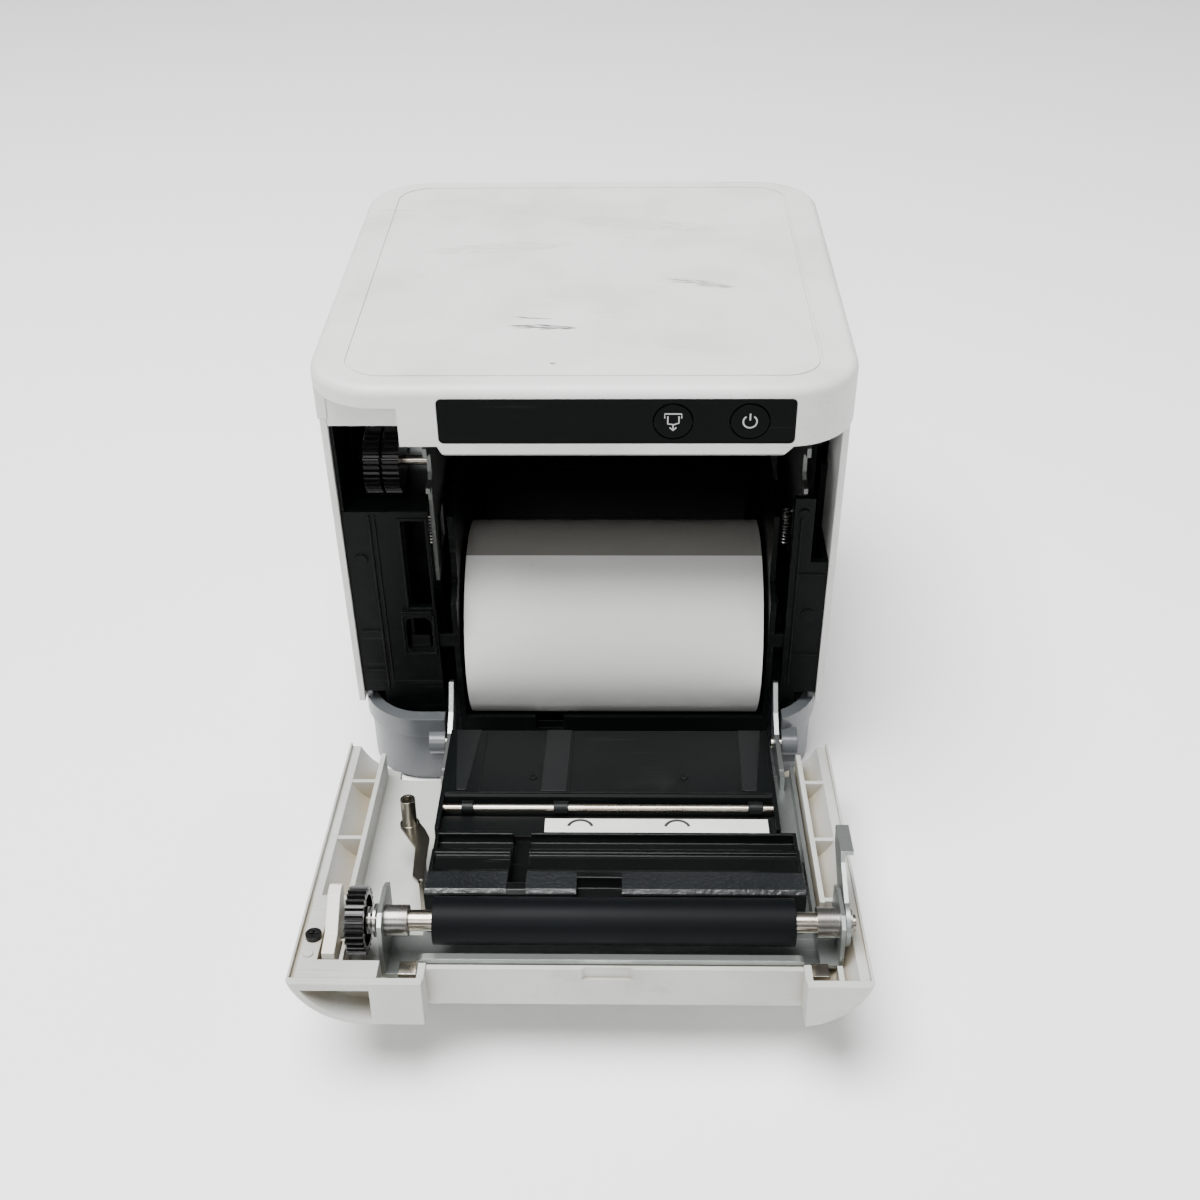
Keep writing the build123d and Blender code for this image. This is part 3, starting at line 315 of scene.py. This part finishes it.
RUB_GREY, RUB_DARK = (0.27, 0.27, 0.26), (0.10, 0.10, 0.10)
RUBS = (((-10.3, -33.0, 127), (9.5, 1.7, 4), 0.06, RUB_DARK),
        ((-13.0, -28.0, 127), (6.0, 0.5, 4), 0.1, RUB_DARK),
        ((28.4, -8.3, 127), (10.0, 2.2, 4), 0.28, RUB_GREY),
        ((-6.9, -51.5, 127), (0.9, 0.7, 4), 0.5, RUB_DARK),
        ((-24.0, 14.0, 127), (22.0, 4.0, 4), -0.12, (0.50, 0.50, 0.485)),
        ((14.0, 30.0, 127), (26.0, 5.0, 4), 0.2, (0.50, 0.50, 0.485)))
case_white = finish("case_white", (0.63, 0.635, 0.62), 0.47, shade=(0.52, 0.525, 0.505),
                    grain=0.45, bump=0.035, grime=(0.43, 0.42, 0.40), cover=0.3, scratches=0.5,
                    scratch_colour=(0.38, 0.37, 0.35), corner_dirt_and_shade=(0.45, 0.40, 0.30), reach=3.0,
                    soften=0.3, rubs=RUBS)
# The front cover's shell is the same white moulding as the case, painted darker all over as shade,
# with more grime.
cover_white_shaded_and_grimed = finish("cover_white_shaded_and_grimed", (0.44, 0.445, 0.425), 0.40, shade=(0.36, 0.36, 0.335),
                     grain=0.45, bump=0.03, grime=(0.25, 0.235, 0.18), cover=0.46, scratches=0.35,
                     scratch_colour=(0.24, 0.22, 0.18), corner_dirt_and_shade=(0.26, 0.21, 0.13), reach=7.0,
                     soften=0.3)
paint(case_white, "side_shell", "top_cover")
paint(cover_white_shaded_and_grimed, "cover_shell")

# ---- Base tray and feet ------------------------------------------------------
# The tray is a smoky grey moulding, slightly clear, with four rubber feet let
# into its underside and a blank foil plate for the ratings.
base_grey = finish("base_grey", (0.078, 0.085, 0.09), 0.34, shade=(0.058, 0.063, 0.068), grain=0.6,
                   bump=0.012, grime=(0.17, 0.17, 0.165), cover=0.3, scratches=0.4,
                   scratch_colour=(0.26, 0.27, 0.27), coat=0.15, soften=0.35)
foot_rubber = finish("foot_rubber", (0.03, 0.03, 0.03), 0.75, grain=0.5, bump=0.04,
                     grime=(0.16, 0.15, 0.14), cover=0.4, soften=0.3)
paint(base_grey, "base_tray")
paint(foot_rubber, "rubber_feet")

hinge = next(joint for joint in frame["joints"] if joint["name"] == "cover_hinge")
HINGE = Vector(hinge["pos_m"])
SWING = Matrix.Translation(HINGE) @ Matrix.Rotation(
    -radians(hinge["range_deg"][0]), 4, "X") @ Matrix.Translation(-HINGE)


def add(name, mesh, material, body, on_cover=False, bevel=0.0, smooth=False):
    """Makes a finished piece of a mesh given in millimetres, with the cover shut."""
    mesh.transform(Matrix.Scale(MM, 4))
    if on_cover:
        mesh.transform(SWING)
    if smooth:
        mesh.shade_smooth()
        mesh.set_sharp_from_angle(angle=radians(35))
    mesh.materials.clear()
    mesh.materials.append(material)
    piece = bpy.data.objects.new(name, mesh)
    bpy.context.scene.collection.objects.link(piece)
    if bevel:
        edge = piece.modifiers.new("edge", "BEVEL")
        edge.width, edge.segments, edge.limit_method = bevel * MM, 2, "ANGLE"
    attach(piece, body)
    return piece


def prism(axis, outline, low, high):
    """A solid with a flat outline; axis is the one it is long in."""
    def corner(a, b, c):
        return {"X": (c, a, b), "Y": (a, c, b), "Z": (a, b, c)}[axis]

    made = bmesh.new()
    rings = [[made.verts.new(corner(a, b, c)) for a, b in outline] for c in (low, high)]
    made.faces.new(rings[0])
    made.faces.new(rings[1])
    for i in range(len(outline)):
        j = (i + 1) % len(outline)
        made.faces.new((rings[0][i], rings[0][j], rings[1][j], rings[1][i]))
    bmesh.ops.recalc_face_normals(made, faces=made.faces)
    mesh = bpy.data.meshes.new("prism")
    made.to_mesh(mesh)
    made.free()
    return mesh


def slab(x0, x1, y0, y1, z0, z1):
    return prism("Z", [(x0, y0), (x1, y0), (x1, y1), (x0, y1)], z0, z1)


def merged(*meshes):
    """Several separate solids as one mesh."""
    made = bmesh.new()
    for mesh in meshes:
        made.from_mesh(mesh)
    joined = bpy.data.meshes.new("merged")
    made.to_mesh(joined)
    made.free()
    return joined


def lathe(profile, centre, axis="X", segments=64):
    """A solid of revolution; the profile is a closed loop of (along, radius) points."""
    made = bmesh.new()
    rings = []
    for step in range(segments):
        angle = 2 * pi * step / segments
        ring = []
        for along, radius in profile:
            a, b = radius * cos(angle), radius * sin(angle)
            at = {"X": (along, a, b), "Y": (b, along, a), "Z": (a, b, along)}[axis]
            ring.append(made.verts.new(Vector(at) + Vector(centre)))
        rings.append(ring)
    count = len(profile)
    for step in range(segments):
        here, there = rings[step], rings[(step + 1) % segments]
        for i in range(count):
            j = (i + 1) % count
            made.faces.new((here[i], here[j], there[j], there[i]))
    bmesh.ops.remove_doubles(made, verts=made.verts, dist=1e-5)
    bmesh.ops.recalc_face_normals(made, faces=made.faces)
    mesh = bpy.data.meshes.new("lathe")
    made.to_mesh(mesh)
    made.free()
    return mesh


foil = finish("foil_plate", (0.62, 0.63, 0.64), 0.38, metallic=0.6, grain=1.0, bump=0.004,
              scratches=0.4, soften=0)
add("rating_plate", prism("Z", [(-24, 6), (-22, 4), (22, 4), (24, 6), (24, 28), (22, 30),
                                (-22, 30), (-24, 28)], 1.08, 1.24),
    foil, "case")

# ---- Control panel and buttons ---------------------------------------------------
# A glossy black lens with two push buttons.  The marks are printed in pale grey:
# a slip with an arrow for paper feed, and a broken ring for power.
lens_black = finish("lens_black", (0.0014, 0.002, 0.002), 0.2, grain=1.4, bump=0.003,
                    specular=0.04, grime=(0.008, 0.009, 0.009), cover=0.35, scratches=0.25,
                    scratch_colour=(0.02, 0.02, 0.02), soften=0.2)
button_black = finish("button_black", (0.0014, 0.002, 0.002), 0.24, grain=0.8, bump=0.004,
                      specular=0.04, grime=(0.008, 0.008, 0.008), cover=0.3, soften=0.3)
print_grey = finish("print_grey", (0.40, 0.40, 0.39), 0.5, grain=0.6, bump=0.002, soften=0)
board_green = finish("board_green", (0.01, 0.06, 0.025), 0.34, shade=(0.007, 0.04, 0.017),
                     grain=1.2, bump=0.01, coat=0.3, soften=0.15)
paint(lens_black, "control_panel")
paint(button_black, "feed_button", "power_button")
paint(board_green, "button_board", "main_board")
CAP_FRONT, CAP_HEIGHT, PRINT_DEPTH = -63.5, 118.5, 0.03
FEED_X, POWER_X = 20.4, 37.7


def arc(radius, start, end, steps=28, centre=(0, 0)):
    turns = [radians(start + (end - start) * i / steps) for i in range(steps + 1)]
    return [(centre[0] + radius * cos(t), centre[1] + radius * sin(t)) for t in turns]


def stroke(path, width):
    """The outline of a line of constant width along a path."""
    left, right = [], []
    for i, point in enumerate(path):
        before, after = path[max(i - 1, 0)], path[min(i + 1, len(path) - 1)]
        way = (Vector(after) - Vector(before)).normalized() * width / 2
        left.append((point[0] - way.y, point[1] + way.x))
        right.append((point[0] + way.y, point[1] - way.x))
    return left + right[::-1]


def printed(name, paths, width, x, body):
    marks = [prism("Y", [(x + a, CAP_HEIGHT + b) for a, b in stroke(path, width)],
                   CAP_FRONT - PRINT_DEPTH, CAP_FRONT + PRINT_DEPTH) for path in paths]
    return add(name, merged(*marks), print_grey, body)


printed("power_mark", [arc(1.55, 125, 415), [(0, 0.35), (0, 2.05)]], 0.34, POWER_X,
        "power_button")
printed("feed_mark", [[(-1.9, 0.9), (-1.9, 2.0), (1.9, 2.0), (1.9, 0.9)],
                      [(-1.2, 1.4), (-1.2, -0.55), (0.2, -0.75), (1.3, -0.35), (1.3, 1.4)],
                      [(0, -0.9), (0, -2.1)], [(-0.75, -1.45), (0, -2.25), (0.75, -1.45)]],
        0.3, FEED_X, "feed_button")

# ---- Inner frame mouldings --------------------------------------------------------
# The roll bay, the side blocks and the cutter frame are glass-filled plastic,
# black with a green cast, with a dull sheen and pale rub marks and paper dust.
frame_black = finish("frame_black", (0.0022, 0.003, 0.003), 0.36, shade=(0.0014, 0.002, 0.002),
                     grain=0.5, bump=0.015, grime=(0.009, 0.0105, 0.010), cover=0.3, scratches=0.4,
                     scratch_colour=(0.03, 0.032, 0.03), corner_dirt_and_shade=(0.012, 0.011, 0.009), reach=2.0,
                     specular=0.07)
paint(frame_black, "main_frame", "left_block", "right_panel", "cutter_frame", "connector_panel",
      "power_inlet", "drawer_socket")

BLOCK_FRONT = -49.5


def border(x0, x1, z0, z1, width):
    """Four strips round a rectangle in the block's front face."""
    front, back = BLOCK_FRONT - 0.35, BLOCK_FRONT + 0.1
    return merged(slab(x0 - width, x0, front, back, z0 - width, z1 + width),
                  slab(x1, x1 + width, front, back, z0 - width, z1 + width),
                  slab(x0, x1, front, back, z0 - width, z0),
                  slab(x0, x1, front, back, z1, z1 + width))


add("stud_slot_border", border(-46.3, -40.3, 55.5, 82.5, 0.7), frame_black, "case",
    bevel=0.12)
add("window_border", border(-48.2, -40.7, 40.6, 52.4, 0.6), frame_black, "case",
    bevel=0.12)
add("block_ribs", merged(slab(-54.4, -53.8, -49.9, -49.4, 28.0, 84.0),
                         slab(-52.9, -52.5, -49.8, -49.4, 30.0, 84.0),
                         slab(-59.6, -54.4, -49.8, -49.4, 47.5, 48.1),
                         slab(-59.6, -54.4, -49.8, -49.4, 34.5, 35.1)),
    frame_black, "case", bevel=0.1)
add("block_rear_web", merged(slab(-46.8, -45.9, -47.8, -34.0, 24.0, 82.0),
                             slab(-58.9, -39.6, -34.8, -34.0, 28.0, 80.0)),
    frame_black, "case", bevel=0.1)
add("panel_ribs", merged(slab(53.0, 53.5, -49.9, -49.4, 30.0, 84.0),
                         slab(53.5, 60.4, -49.8, -49.4, 66.0, 66.6),
                         slab(53.5, 60.4, -49.8, -49.4, 40.0, 40.6)),
    frame_black, "case", bevel=0.1)


def coil(name, turns, radius, length, wire):
    """A helical spring made by Geometry Nodes, standing on the origin along Z."""
    tree = bpy.data.node_groups.get("coil_spring")
    if tree is None:
        tree = bpy.data.node_groups.new("coil_spring", "GeometryNodeTree")
        for label, kind in (("Turns", F), ("Radius", F), ("Length", F), ("Wire", F)):
            tree.interface.new_socket(label, in_out="INPUT", socket_type=kind)
        tree.interface.new_socket("Geometry", in_out="OUTPUT", socket_type="NodeSocketGeometry")
        values, result = tree.nodes.new("NodeGroupInput"), tree.nodes.new("NodeGroupOutput")
        spiral = node(tree, "GeometryNodeCurveSpiral")
        spiral.inputs["Resolution"].default_value = 20
        for label, target in (("Turns", "Rotations"), ("Radius", "Start Radius"),
                              ("Radius", "End Radius"), ("Length", "Height")):
            tree.links.new(values.outputs[label], spiral.inputs[target])
        ring = node(tree, "GeometryNodeCurvePrimitiveCircle")
        ring.inputs["Resolution"].default_value = 8
        tree.links.new(values.outputs["Wire"], ring.inputs["Radius"])
        sweep = node(tree, "GeometryNodeCurveToMesh")
        sweep.inputs["Fill Caps"].default_value = True
        real = node(tree, "GeometryNodeRealizeInstances")
        dress = node(tree, "GeometryNodeSetMaterial")
        dress.inputs["Material"].default_value = spring_steel
        tree.links.new(spiral.outputs["Curve"], sweep.inputs["Curve"])
        tree.links.new(ring.outputs["Curve"], sweep.inputs["Profile Curve"])
        tree.links.new(sweep.outputs["Mesh"], real.inputs["Geometry"])
        tree.links.new(real.outputs["Geometry"], dress.inputs["Geometry"])
        tree.links.new(dress.outputs["Geometry"], result.inputs["Geometry"])
    return grown(name, bpy.data.meshes.new(name), tree,
                 {"Turns": turns, "Radius": radius, "Length": length, "Wire": wire})


def grown(name, mesh, tree, values):
    """The plain mesh that a Geometry Nodes tree makes of a mesh."""
    holder = bpy.data.objects.new(name + "_base", mesh)
    bpy.context.scene.collection.objects.link(holder)
    modifier = holder.modifiers.new("grow", "NODES")
    modifier.node_group = tree
    for item in tree.interface.items_tree:
        if item.in_out == "INPUT" and item.name in values:
            modifier[item.identifier] = values[item.name]
    graph = bpy.context.evaluated_depsgraph_get()
    result = bpy.data.meshes.new_from_object(holder.evaluated_get(graph))
    bpy.data.objects.remove(holder)
    return result


def repeated(name, mesh, count, step):
    """Copies of a mesh in a straight row, by Geometry Nodes; step is in millimetres."""
    tree = bpy.data.node_groups.get("straight_row")
    if tree is None:
        tree = bpy.data.node_groups.new("straight_row", "GeometryNodeTree")
        for label, kind in (("Geometry", "NodeSocketGeometry"), ("Count", "NodeSocketInt"),
                            ("Step", V)):
            tree.interface.new_socket(label, in_out="INPUT", socket_type=kind)
        tree.interface.new_socket("Geometry", in_out="OUTPUT", socket_type="NodeSocketGeometry")
        values, result = tree.nodes.new("NodeGroupInput"), tree.nodes.new("NodeGroupOutput")
        line = node(tree, "GeometryNodeMeshLine", mode="OFFSET")
        spread = node(tree, "GeometryNodeInstanceOnPoints")
        real = node(tree, "GeometryNodeRealizeInstances")
        dress = node(tree, "GeometryNodeSetMaterial")
        tree.links.new(values.outputs["Count"], line.inputs["Count"])
        tree.links.new(values.outputs["Step"], line.inputs["Offset"])
        tree.links.new(line.outputs["Mesh"], spread.inputs["Points"])
        tree.links.new(values.outputs["Geometry"], spread.inputs["Instance"])
        tree.links.new(spread.outputs["Instances"], real.inputs["Geometry"])
        tree.links.new(real.outputs["Geometry"], dress.inputs["Geometry"])
        tree.links.new(dress.outputs["Geometry"], result.inputs["Geometry"])
    return grown(name, mesh, tree, {"Count": count, "Step": step})


# Painted shade: thin black sheets inside the side shells, over the mechanism, stand for the shade
# there.
SHELL_INSIDE, SHADE_SHEET_TOP, SHADE_SHEET_BACK = 60.9, 111.6, 34.0
add("shade_sheet_left", merged(slab(-SHELL_INSIDE, -60.5, -49.4, SHADE_SHEET_BACK, 85.2, SHADE_SHEET_TOP),
                               slab(-60.5, -60.0, -49.4, -48.8, 85.2, SHADE_SHEET_TOP),
                               slab(-60.5, -60.0, -30.0, -29.4, 85.2, SHADE_SHEET_TOP)),
    frame_black, "case", bevel=0.08)
add("shade_sheet_right", slab(60.5, SHELL_INSIDE, -32.0, SHADE_SHEET_BACK, 89.2, SHADE_SHEET_TOP),
    frame_black, "case", bevel=0.08)
add("bay_floor_ribs", repeated("bay_floor_ribs", slab(-33.0, -32.4, 14.0, 28.0, 9.2, 9.8), 9,
                               (9.6, 0, 0)), frame_black, "case")

# ---- Printing mechanism -------------------------------------------------------------
# Zinc-plated plates and arms, stamped from sheet, carry the head, the gears and the
# motors; those deep in the case are duller, and painted darker as shade.  Coil
# springs sit in the side windows.
zinc = finish("zinc_sheet", (0.31, 0.33, 0.32), 0.36, shade=(0.25, 0.27, 0.26), metallic=0.85,
              grain=0.9, bump=0.006, stretch=(1, 1, 0.08), grime=(0.20, 0.20, 0.185), cover=0.3,
              scratches=0.6, scratch_colour=(0.60, 0.61, 0.59), soften=0.12)
# Painted shade: the plates deep in the case get a darker copy of the zinc.
zinc_dulled_and_shaded = finish("zinc_dulled_and_shaded", (0.12, 0.125, 0.12), 0.42, shade=(0.08, 0.085, 0.082),
                   metallic=0.85, grain=0.9, bump=0.006, stretch=(1, 1, 0.08),
                   grime=(0.07, 0.068, 0.06), cover=0.4, scratches=0.5,
                   scratch_colour=(0.22, 0.22, 0.21), soften=0.12)
ground_steel = finish("ground_steel", (0.38, 0.35, 0.31), 0.25, shade=(0.27, 0.24, 0.20),
                      metallic=1.0, grain=0.35, bump=0.003, stretch=(3, 0.4, 0.4),
                      grime=(0.26, 0.19, 0.13), cover=0.42, soften=0.15)
spring_steel = finish("spring_steel", (0.30, 0.30, 0.29), 0.28, metallic=1.0, grain=0.3,
                      bump=0.003, soften=0)
nickel = finish("nickel_plate", (0.68, 0.66, 0.60), 0.18, shade=(0.52, 0.49, 0.43), metallic=1.0,
                grain=0.8, bump=0.004, grime=(0.34, 0.29, 0.21), cover=0.35, soften=0.25)
aluminium = finish("sink_aluminium", (0.26, 0.265, 0.27), 0.36, metallic=0.95, grain=0.6,
                   stretch=(0.1, 1, 1), bump=0.006, soften=0.15)
head_glaze = finish("head_glaze", (0.13, 0.135, 0.13), 0.2, grain=1.0, bump=0.004, coat=0.4,
                    grime=(0.08, 0.068, 0.05), cover=0.3)
blade_steel = finish("blade_steel", (0.52, 0.53, 0.53), 0.26, metallic=1.0, grain=0.5,
                     stretch=(1, 1, 0.06), bump=0.004, soften=0.05)
motor_can = finish("motor_can", (0.22, 0.225, 0.23), 0.34, metallic=0.85, grain=0.7, bump=0.006,
                   soften=0.4)
paint(zinc_dulled_and_shaded, "frame_plate_left", "frame_plate_right", "mechanism_bridge", "spring_plate",
      "motor_bracket")
paint(zinc, "cover_chassis", "hinge_arm_left", "hinge_arm_right", "lock_lever")
paint(ground_steel, "platen_shaft", "guide_shaft", "head_shaft", "gear_studs", "motor_shaft",
      "release_pin")
paint(spring_steel, "platen_clips")
paint(nickel, "hinge_pins", "guide_blocks", "motor_pinion", "usb_socket", "lan_socket")
paint(aluminium, "heat_sink")
paint(head_glaze, "thermal_head")
paint(blade_steel, "cutter_blade")
paint(motor_can, "feed_motor", "cutter_motor")


def spring(name, place, tilt, turns, radius, length, wire, body, on_cover=False):
    mesh = coil(name, turns, radius, length, wire)
    mesh.transform(Matrix.Translation(place) @ tilt)
    return add(name, mesh, spring_steel, body, on_cover=on_cover, smooth=True)


UPRIGHT = Matrix.Identity(4)
ALONG_X = Matrix.Rotation(radians(90), 4, "Y")
for side, x in (("left", -41.2), ("right", 51.2)):
    spring(side + "_window_spring", (x, -34.5, 66.4), UPRIGHT, 9, 1.4, 9.2, 0.28, "case")

# Two short coils press the head down.
head_coils = []
for x in (-14.0, 27.0):
    head_coils.append(coil("head_coil", 5, 2.0, 3.4, 0.3))
    head_coils[-1].transform(Matrix.Translation((x, -41.5, 107.27)))
head_coils = add("head_coils", merged(*head_coils), spring_steel, "case",
                 smooth=True)
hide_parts("head_springs")
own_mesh(head_coils)

# ---- Gears -------------------------------------------------------------------------
# The platen gear is moulded in black acetal.  The idler and the second gear are
# painted near black as the shade they sit in, and dulled by grease.  The bushings
# and the interlock stud are turned metal.
black_acetal = finish("black_acetal", (0.0045, 0.0045, 0.0045), 0.22, grain=0.8, bump=0.006,
                      grime=(0.012, 0.012, 0.011), cover=0.3, specular=0.35, soften=0.08)
# Painted shade: the idler and the second gear are coloured near black.
gear_black_painted_shade = finish("gear_black_painted_shade", (0.006, 0.007, 0.0065), 0.30, grain=0.8, bump=0.008,
                     grime=(0.014, 0.014, 0.012), cover=0.35, specular=0.3, soften=0.08)
bushing_steel = finish("bushing_steel", (0.20, 0.195, 0.185), 0.27, shade=(0.13, 0.12, 0.11),
                       metallic=0.9, grain=0.5, bump=0.004, stretch=(3, 0.4, 0.4),
                       grime=(0.08, 0.065, 0.05), cover=0.4, soften=0.2)
stud_nickel = finish("stud_nickel", (0.36, 0.34, 0.29), 0.24, shade=(0.25, 0.23, 0.19),
                     metallic=1.0, grain=0.8, bump=0.003, grime=(0.15, 0.12, 0.08), cover=0.35,
                     soften=0.3)
paint(black_acetal, "platen_gear")
paint(gear_black_painted_shade, "idler_gear", "second_gear")
paint(bushing_steel, "platen_bushings")
paint(stud_nickel, "interlock_stud")

# ---- Paper roll ----------------------------------------------------------------------
# A roll of 80 mm thermal paper wound on a card tube.  Its layers stand a little
# unevenly at the ends, and its loose tail ends in a cut edge on top.  The wound
# paper, ends included, is painted dark grey as shade; the tail is white.
roll_joint = next(joint for joint in frame["joints"] if joint["name"] == "roll_spin")
roll_axis = Vector(roll_joint["pos_m"]) / MM
roll_low, roll_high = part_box("paper_roll")
roll_left, roll_right = roll_low[0] / MM, roll_high[0] / MM
ROLL_R, CORE_R, LAYER = 27.0, 9.0, 0.45
thermal = finish("thermal_paper", (0.90, 0.90, 0.885), 0.50, shade=(0.85, 0.85, 0.83),
                 grain=0.25, bump=0.004, grime=(0.70, 0.695, 0.67), cover=0.25, soften=0,
                 uneven=0.06, stretch=(0.2, 1, 1))
# Painted shade: the wound paper is dark grey to stand for the shade on the roll's top and ends.
shaded_paper_finish = finish("paper_painted_shade", (0.30, 0.29, 0.27), 0.55, shade=(0.26, 0.25, 0.23), grain=0.25,
               bump=0.004, grime=(0.24, 0.23, 0.21), cover=0.3, soften=0, stretch=(0.2, 1, 1))
card = finish("core_card", (0.36, 0.29, 0.20), 0.8, grain=0.3, bump=0.02, soften=0)
paint(card, "paper_core")
shuffle = random.Random(7)
steps = int((ROLL_R - CORE_R) / LAYER)
ends = {}
for side, face, inward in (("left", roll_left, 1), ("right", roll_right, -1)):
    ends[side] = []
    for i in range(steps):
        at = face + inward * shuffle.uniform(0.0, 0.16)
        ends[side] += [(at, CORE_R + i * LAYER), (at, CORE_R + (i + 1) * LAYER - 0.04)]
    ends[side].append((face + inward * 0.05, ROLL_R))
roll_mesh = lathe(ends["left"] + ends["right"][::-1], (0, roll_axis.y, roll_axis.z), segments=160)
roll = add("wound_paper", roll_mesh, shaded_paper_finish, "paper_roll", smooth=True)
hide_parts("paper_roll")
TAIL_FROM, TAIL_TO = 73, -100        # degrees above the front: its cut edge, and its root
TAIL_OUT, TAIL_IN = ROLL_R + 0.3, ROLL_R - 0.2


def on_roll(radius, angle):
    return (roll_axis.y - radius * cos(radians(angle)), roll_axis.z + radius * sin(radians(angle)))


outer = [on_roll(TAIL_OUT, angle) for angle in range(TAIL_TO, TAIL_FROM + 1)]
inner = [on_roll(TAIL_IN, angle) for angle in range(TAIL_FROM, TAIL_TO - 1, -1)]
add("paper_tail", prism("X", outer + inner, roll_left + 0.1, roll_right - 0.1), thermal,
    "paper_roll", smooth=True)

# ---- Cover's inner tray and paper guide --------------------------------------------------
# The tray that the paper slides over and the guide in front of the platen are black
# mouldings, with a glossy grained flange by the platen.  A white label shows two
# printed arches.
tray_black = finish("tray_black", (0.0028, 0.0037, 0.0037), 0.38, grain=0.5, bump=0.012,
                    grime=(0.008, 0.0092, 0.009), cover=0.3, scratches=0.4, specular=0.13,
                    scratch_colour=(0.03, 0.03, 0.029), corner_dirt_and_shade=(0.012, 0.011, 0.009), reach=1.5)
guide_black = finish("guide_black", (0.0035, 0.004, 0.004), 0.2, grain=1.0, bump=0.005,
                     grime=(0.012, 0.012, 0.011), cover=0.25, scratches=0.5, specular=0.3,
                     scratch_colour=(0.06, 0.06, 0.055), soften=0.45)
label_white = finish("label_stock", (0.70, 0.70, 0.68), 0.42, grain=0.4, bump=0.004, soften=0)
mark_black = finish("mark_black", (0.02, 0.02, 0.02), 0.5, grain=0.4, bump=0.002, soften=0)
paint(tray_black, "inner_tray", "shaft_collars")
paint(guide_black, "paper_guide")
paint(label_white, "guide_label")
flange_gloss = finish("flange_gloss", (0.012, 0.0135, 0.0145), 0.24, shade=(0.006, 0.007, 0.0075),
                      grain=1.1, bump=0.22, grime=(0.035, 0.037, 0.038), cover=0.4, specular=0.5,
                      soften=0.2)
FLANGE = [(-46.55, 80.7), (-46.33, 80.75), (-45.85, 86.95), (-46.55, 87.75), (-46.85, 87.8)]
add("guide_flange", merged(*(prism("X", FLANGE, x0, x1) for x0, x1 in (
    (-35.4, -17.05), (-12.65, -1.25), (9.05, 50.3)))), flange_gloss, "front_cover",
    on_cover=True)
arches = [prism("Y", stroke(arc(3.0, 195, 345, centre=(x, 57.3)), 0.75), -53.06, -52.96)
          for x in (-1.3, 22.5)]
add("label_arches", merged(*arches), mark_black, "front_cover", on_cover=True)
dimples = [lathe([(-50.6, 0.3), (-50.25, 0.3), (-50.2, 1.0), (-50.6, 1.15)], (x, 0, 40.5),
                 axis="Y", segments=24) for x in (-13.6, 24.6)]
add("tray_dimples", merged(*dimples), tray_black, "front_cover", on_cover=True)
flap_black = finish("flap_black", (0.0075, 0.0088, 0.0088), 0.42, grain=0.5, bump=0.012,
                    grime=(0.011, 0.012, 0.012), cover=0.3, specular=0.16)
flaps = [prism("Y", outline, -50.55, -50.0) for outline in (
    [(-35.0, 20.8), (-28.4, 20.8), (-30.2, 46.2), (-32.6, 46.2)],
    [(39.4, 20.8), (45.4, 20.8), (42.6, 46.2), (39.0, 46.2)],
    [(-11.0, 20.8), (-4.4, 20.8), (-5.0, 46.6), (-11.4, 46.6)])]
add("tray_flaps", merged(*flaps), flap_black, "front_cover", on_cover=True,
    bevel=0.15)
add("tray_edge_rib", slab(-35.0, 45.8, -50.6, -50.2, 46.7, 47.1),
    tray_black, "front_cover", on_cover=True, bevel=0.08)

# ---- Platen ---------------------------------------------------------------------------
# A ground rubber roller, moulded on a steel shaft, dusty where paper has run.
platen_rubber = finish("platen_rubber", (0.0022, 0.003, 0.0035), 0.5, grain=0.22, bump=0.01,
                       grime=(0.004, 0.0045, 0.005), cover=0.4, specular=0.07, soften=0.2)
paint(platen_rubber, "platen_rubber")

# ---- Cover release and lock ----------------------------------------------------------------
# A white acetal rocker in a window releases the cover; its spring is on the pin.
# A black cross-head screw beside it holds the deck, and a steel lever locks the far end.
rocker_white = finish("rocker_white", (0.66, 0.65, 0.60), 0.34, shade=(0.60, 0.58, 0.52),
                      grain=0.9, bump=0.008, grime=(0.42, 0.37, 0.27), cover=0.35, soften=0.4)
black_oxide = finish("black_oxide", (0.02, 0.02, 0.02), 0.3, metallic=0.7, grain=0.4,
                     bump=0.006, soften=0.15)
paint(rocker_white, "release_lever")
paint(black_oxide, "cover_screw", "case_screws")
spring("lock_spring", (51.6, -56.2, 66.0), UPRIGHT, 8, 0.9, 8.0, 0.22, "front_cover",
       on_cover=True)
spring("release_spring", (-53.1, -54.4, 95.0), ALONG_X, 2, 1.4, 1.2, 0.2, "front_cover",
       on_cover=True)

# ---- Rear connectors ---------------------------------------------------------------------
# Contacts inside the four sockets: three power pins, a data tongue, and rows of
# gold-plated springs for the network and the cash drawer.
gold = finish("contact_gold", (0.75, 0.56, 0.25), 0.25, metallic=1.0, grain=0.3, bump=0.002,
              soften=0)
PIN = [(49.4, 0.02), (49.4, 0.5), (56.2, 0.5), (56.6, 0.25), (56.6, 0.02)]
pins = [lathe(PIN, (x, 0, z), axis="Y", segments=16)
        for x, z in ((-33.4, 36.0), (-28.6, 36.0), (-31.0, 39.2))]
add("power_pins", merged(*pins), gold, "case", smooth=True)
add("data_tongue", slab(-12.8, -8.2, 49.5, 56.6, 35.9, 38.3), frame_black, "case",
    bevel=0.15)
CONTACT_PITCH = 1.02
for name, x, count in (("network_contacts", 6.4, 8), ("drawer_contacts", 28.9, 6)):
    contact = prism("X", [(49.4, 40.0), (56.6, 40.0), (56.9, 39.7), (50.6, 37.2), (49.4, 37.2)],
                    x, x + 0.4)
    add(name, repeated(name, contact, count, (CONTACT_PITCH, 0, 0)), gold, "case")
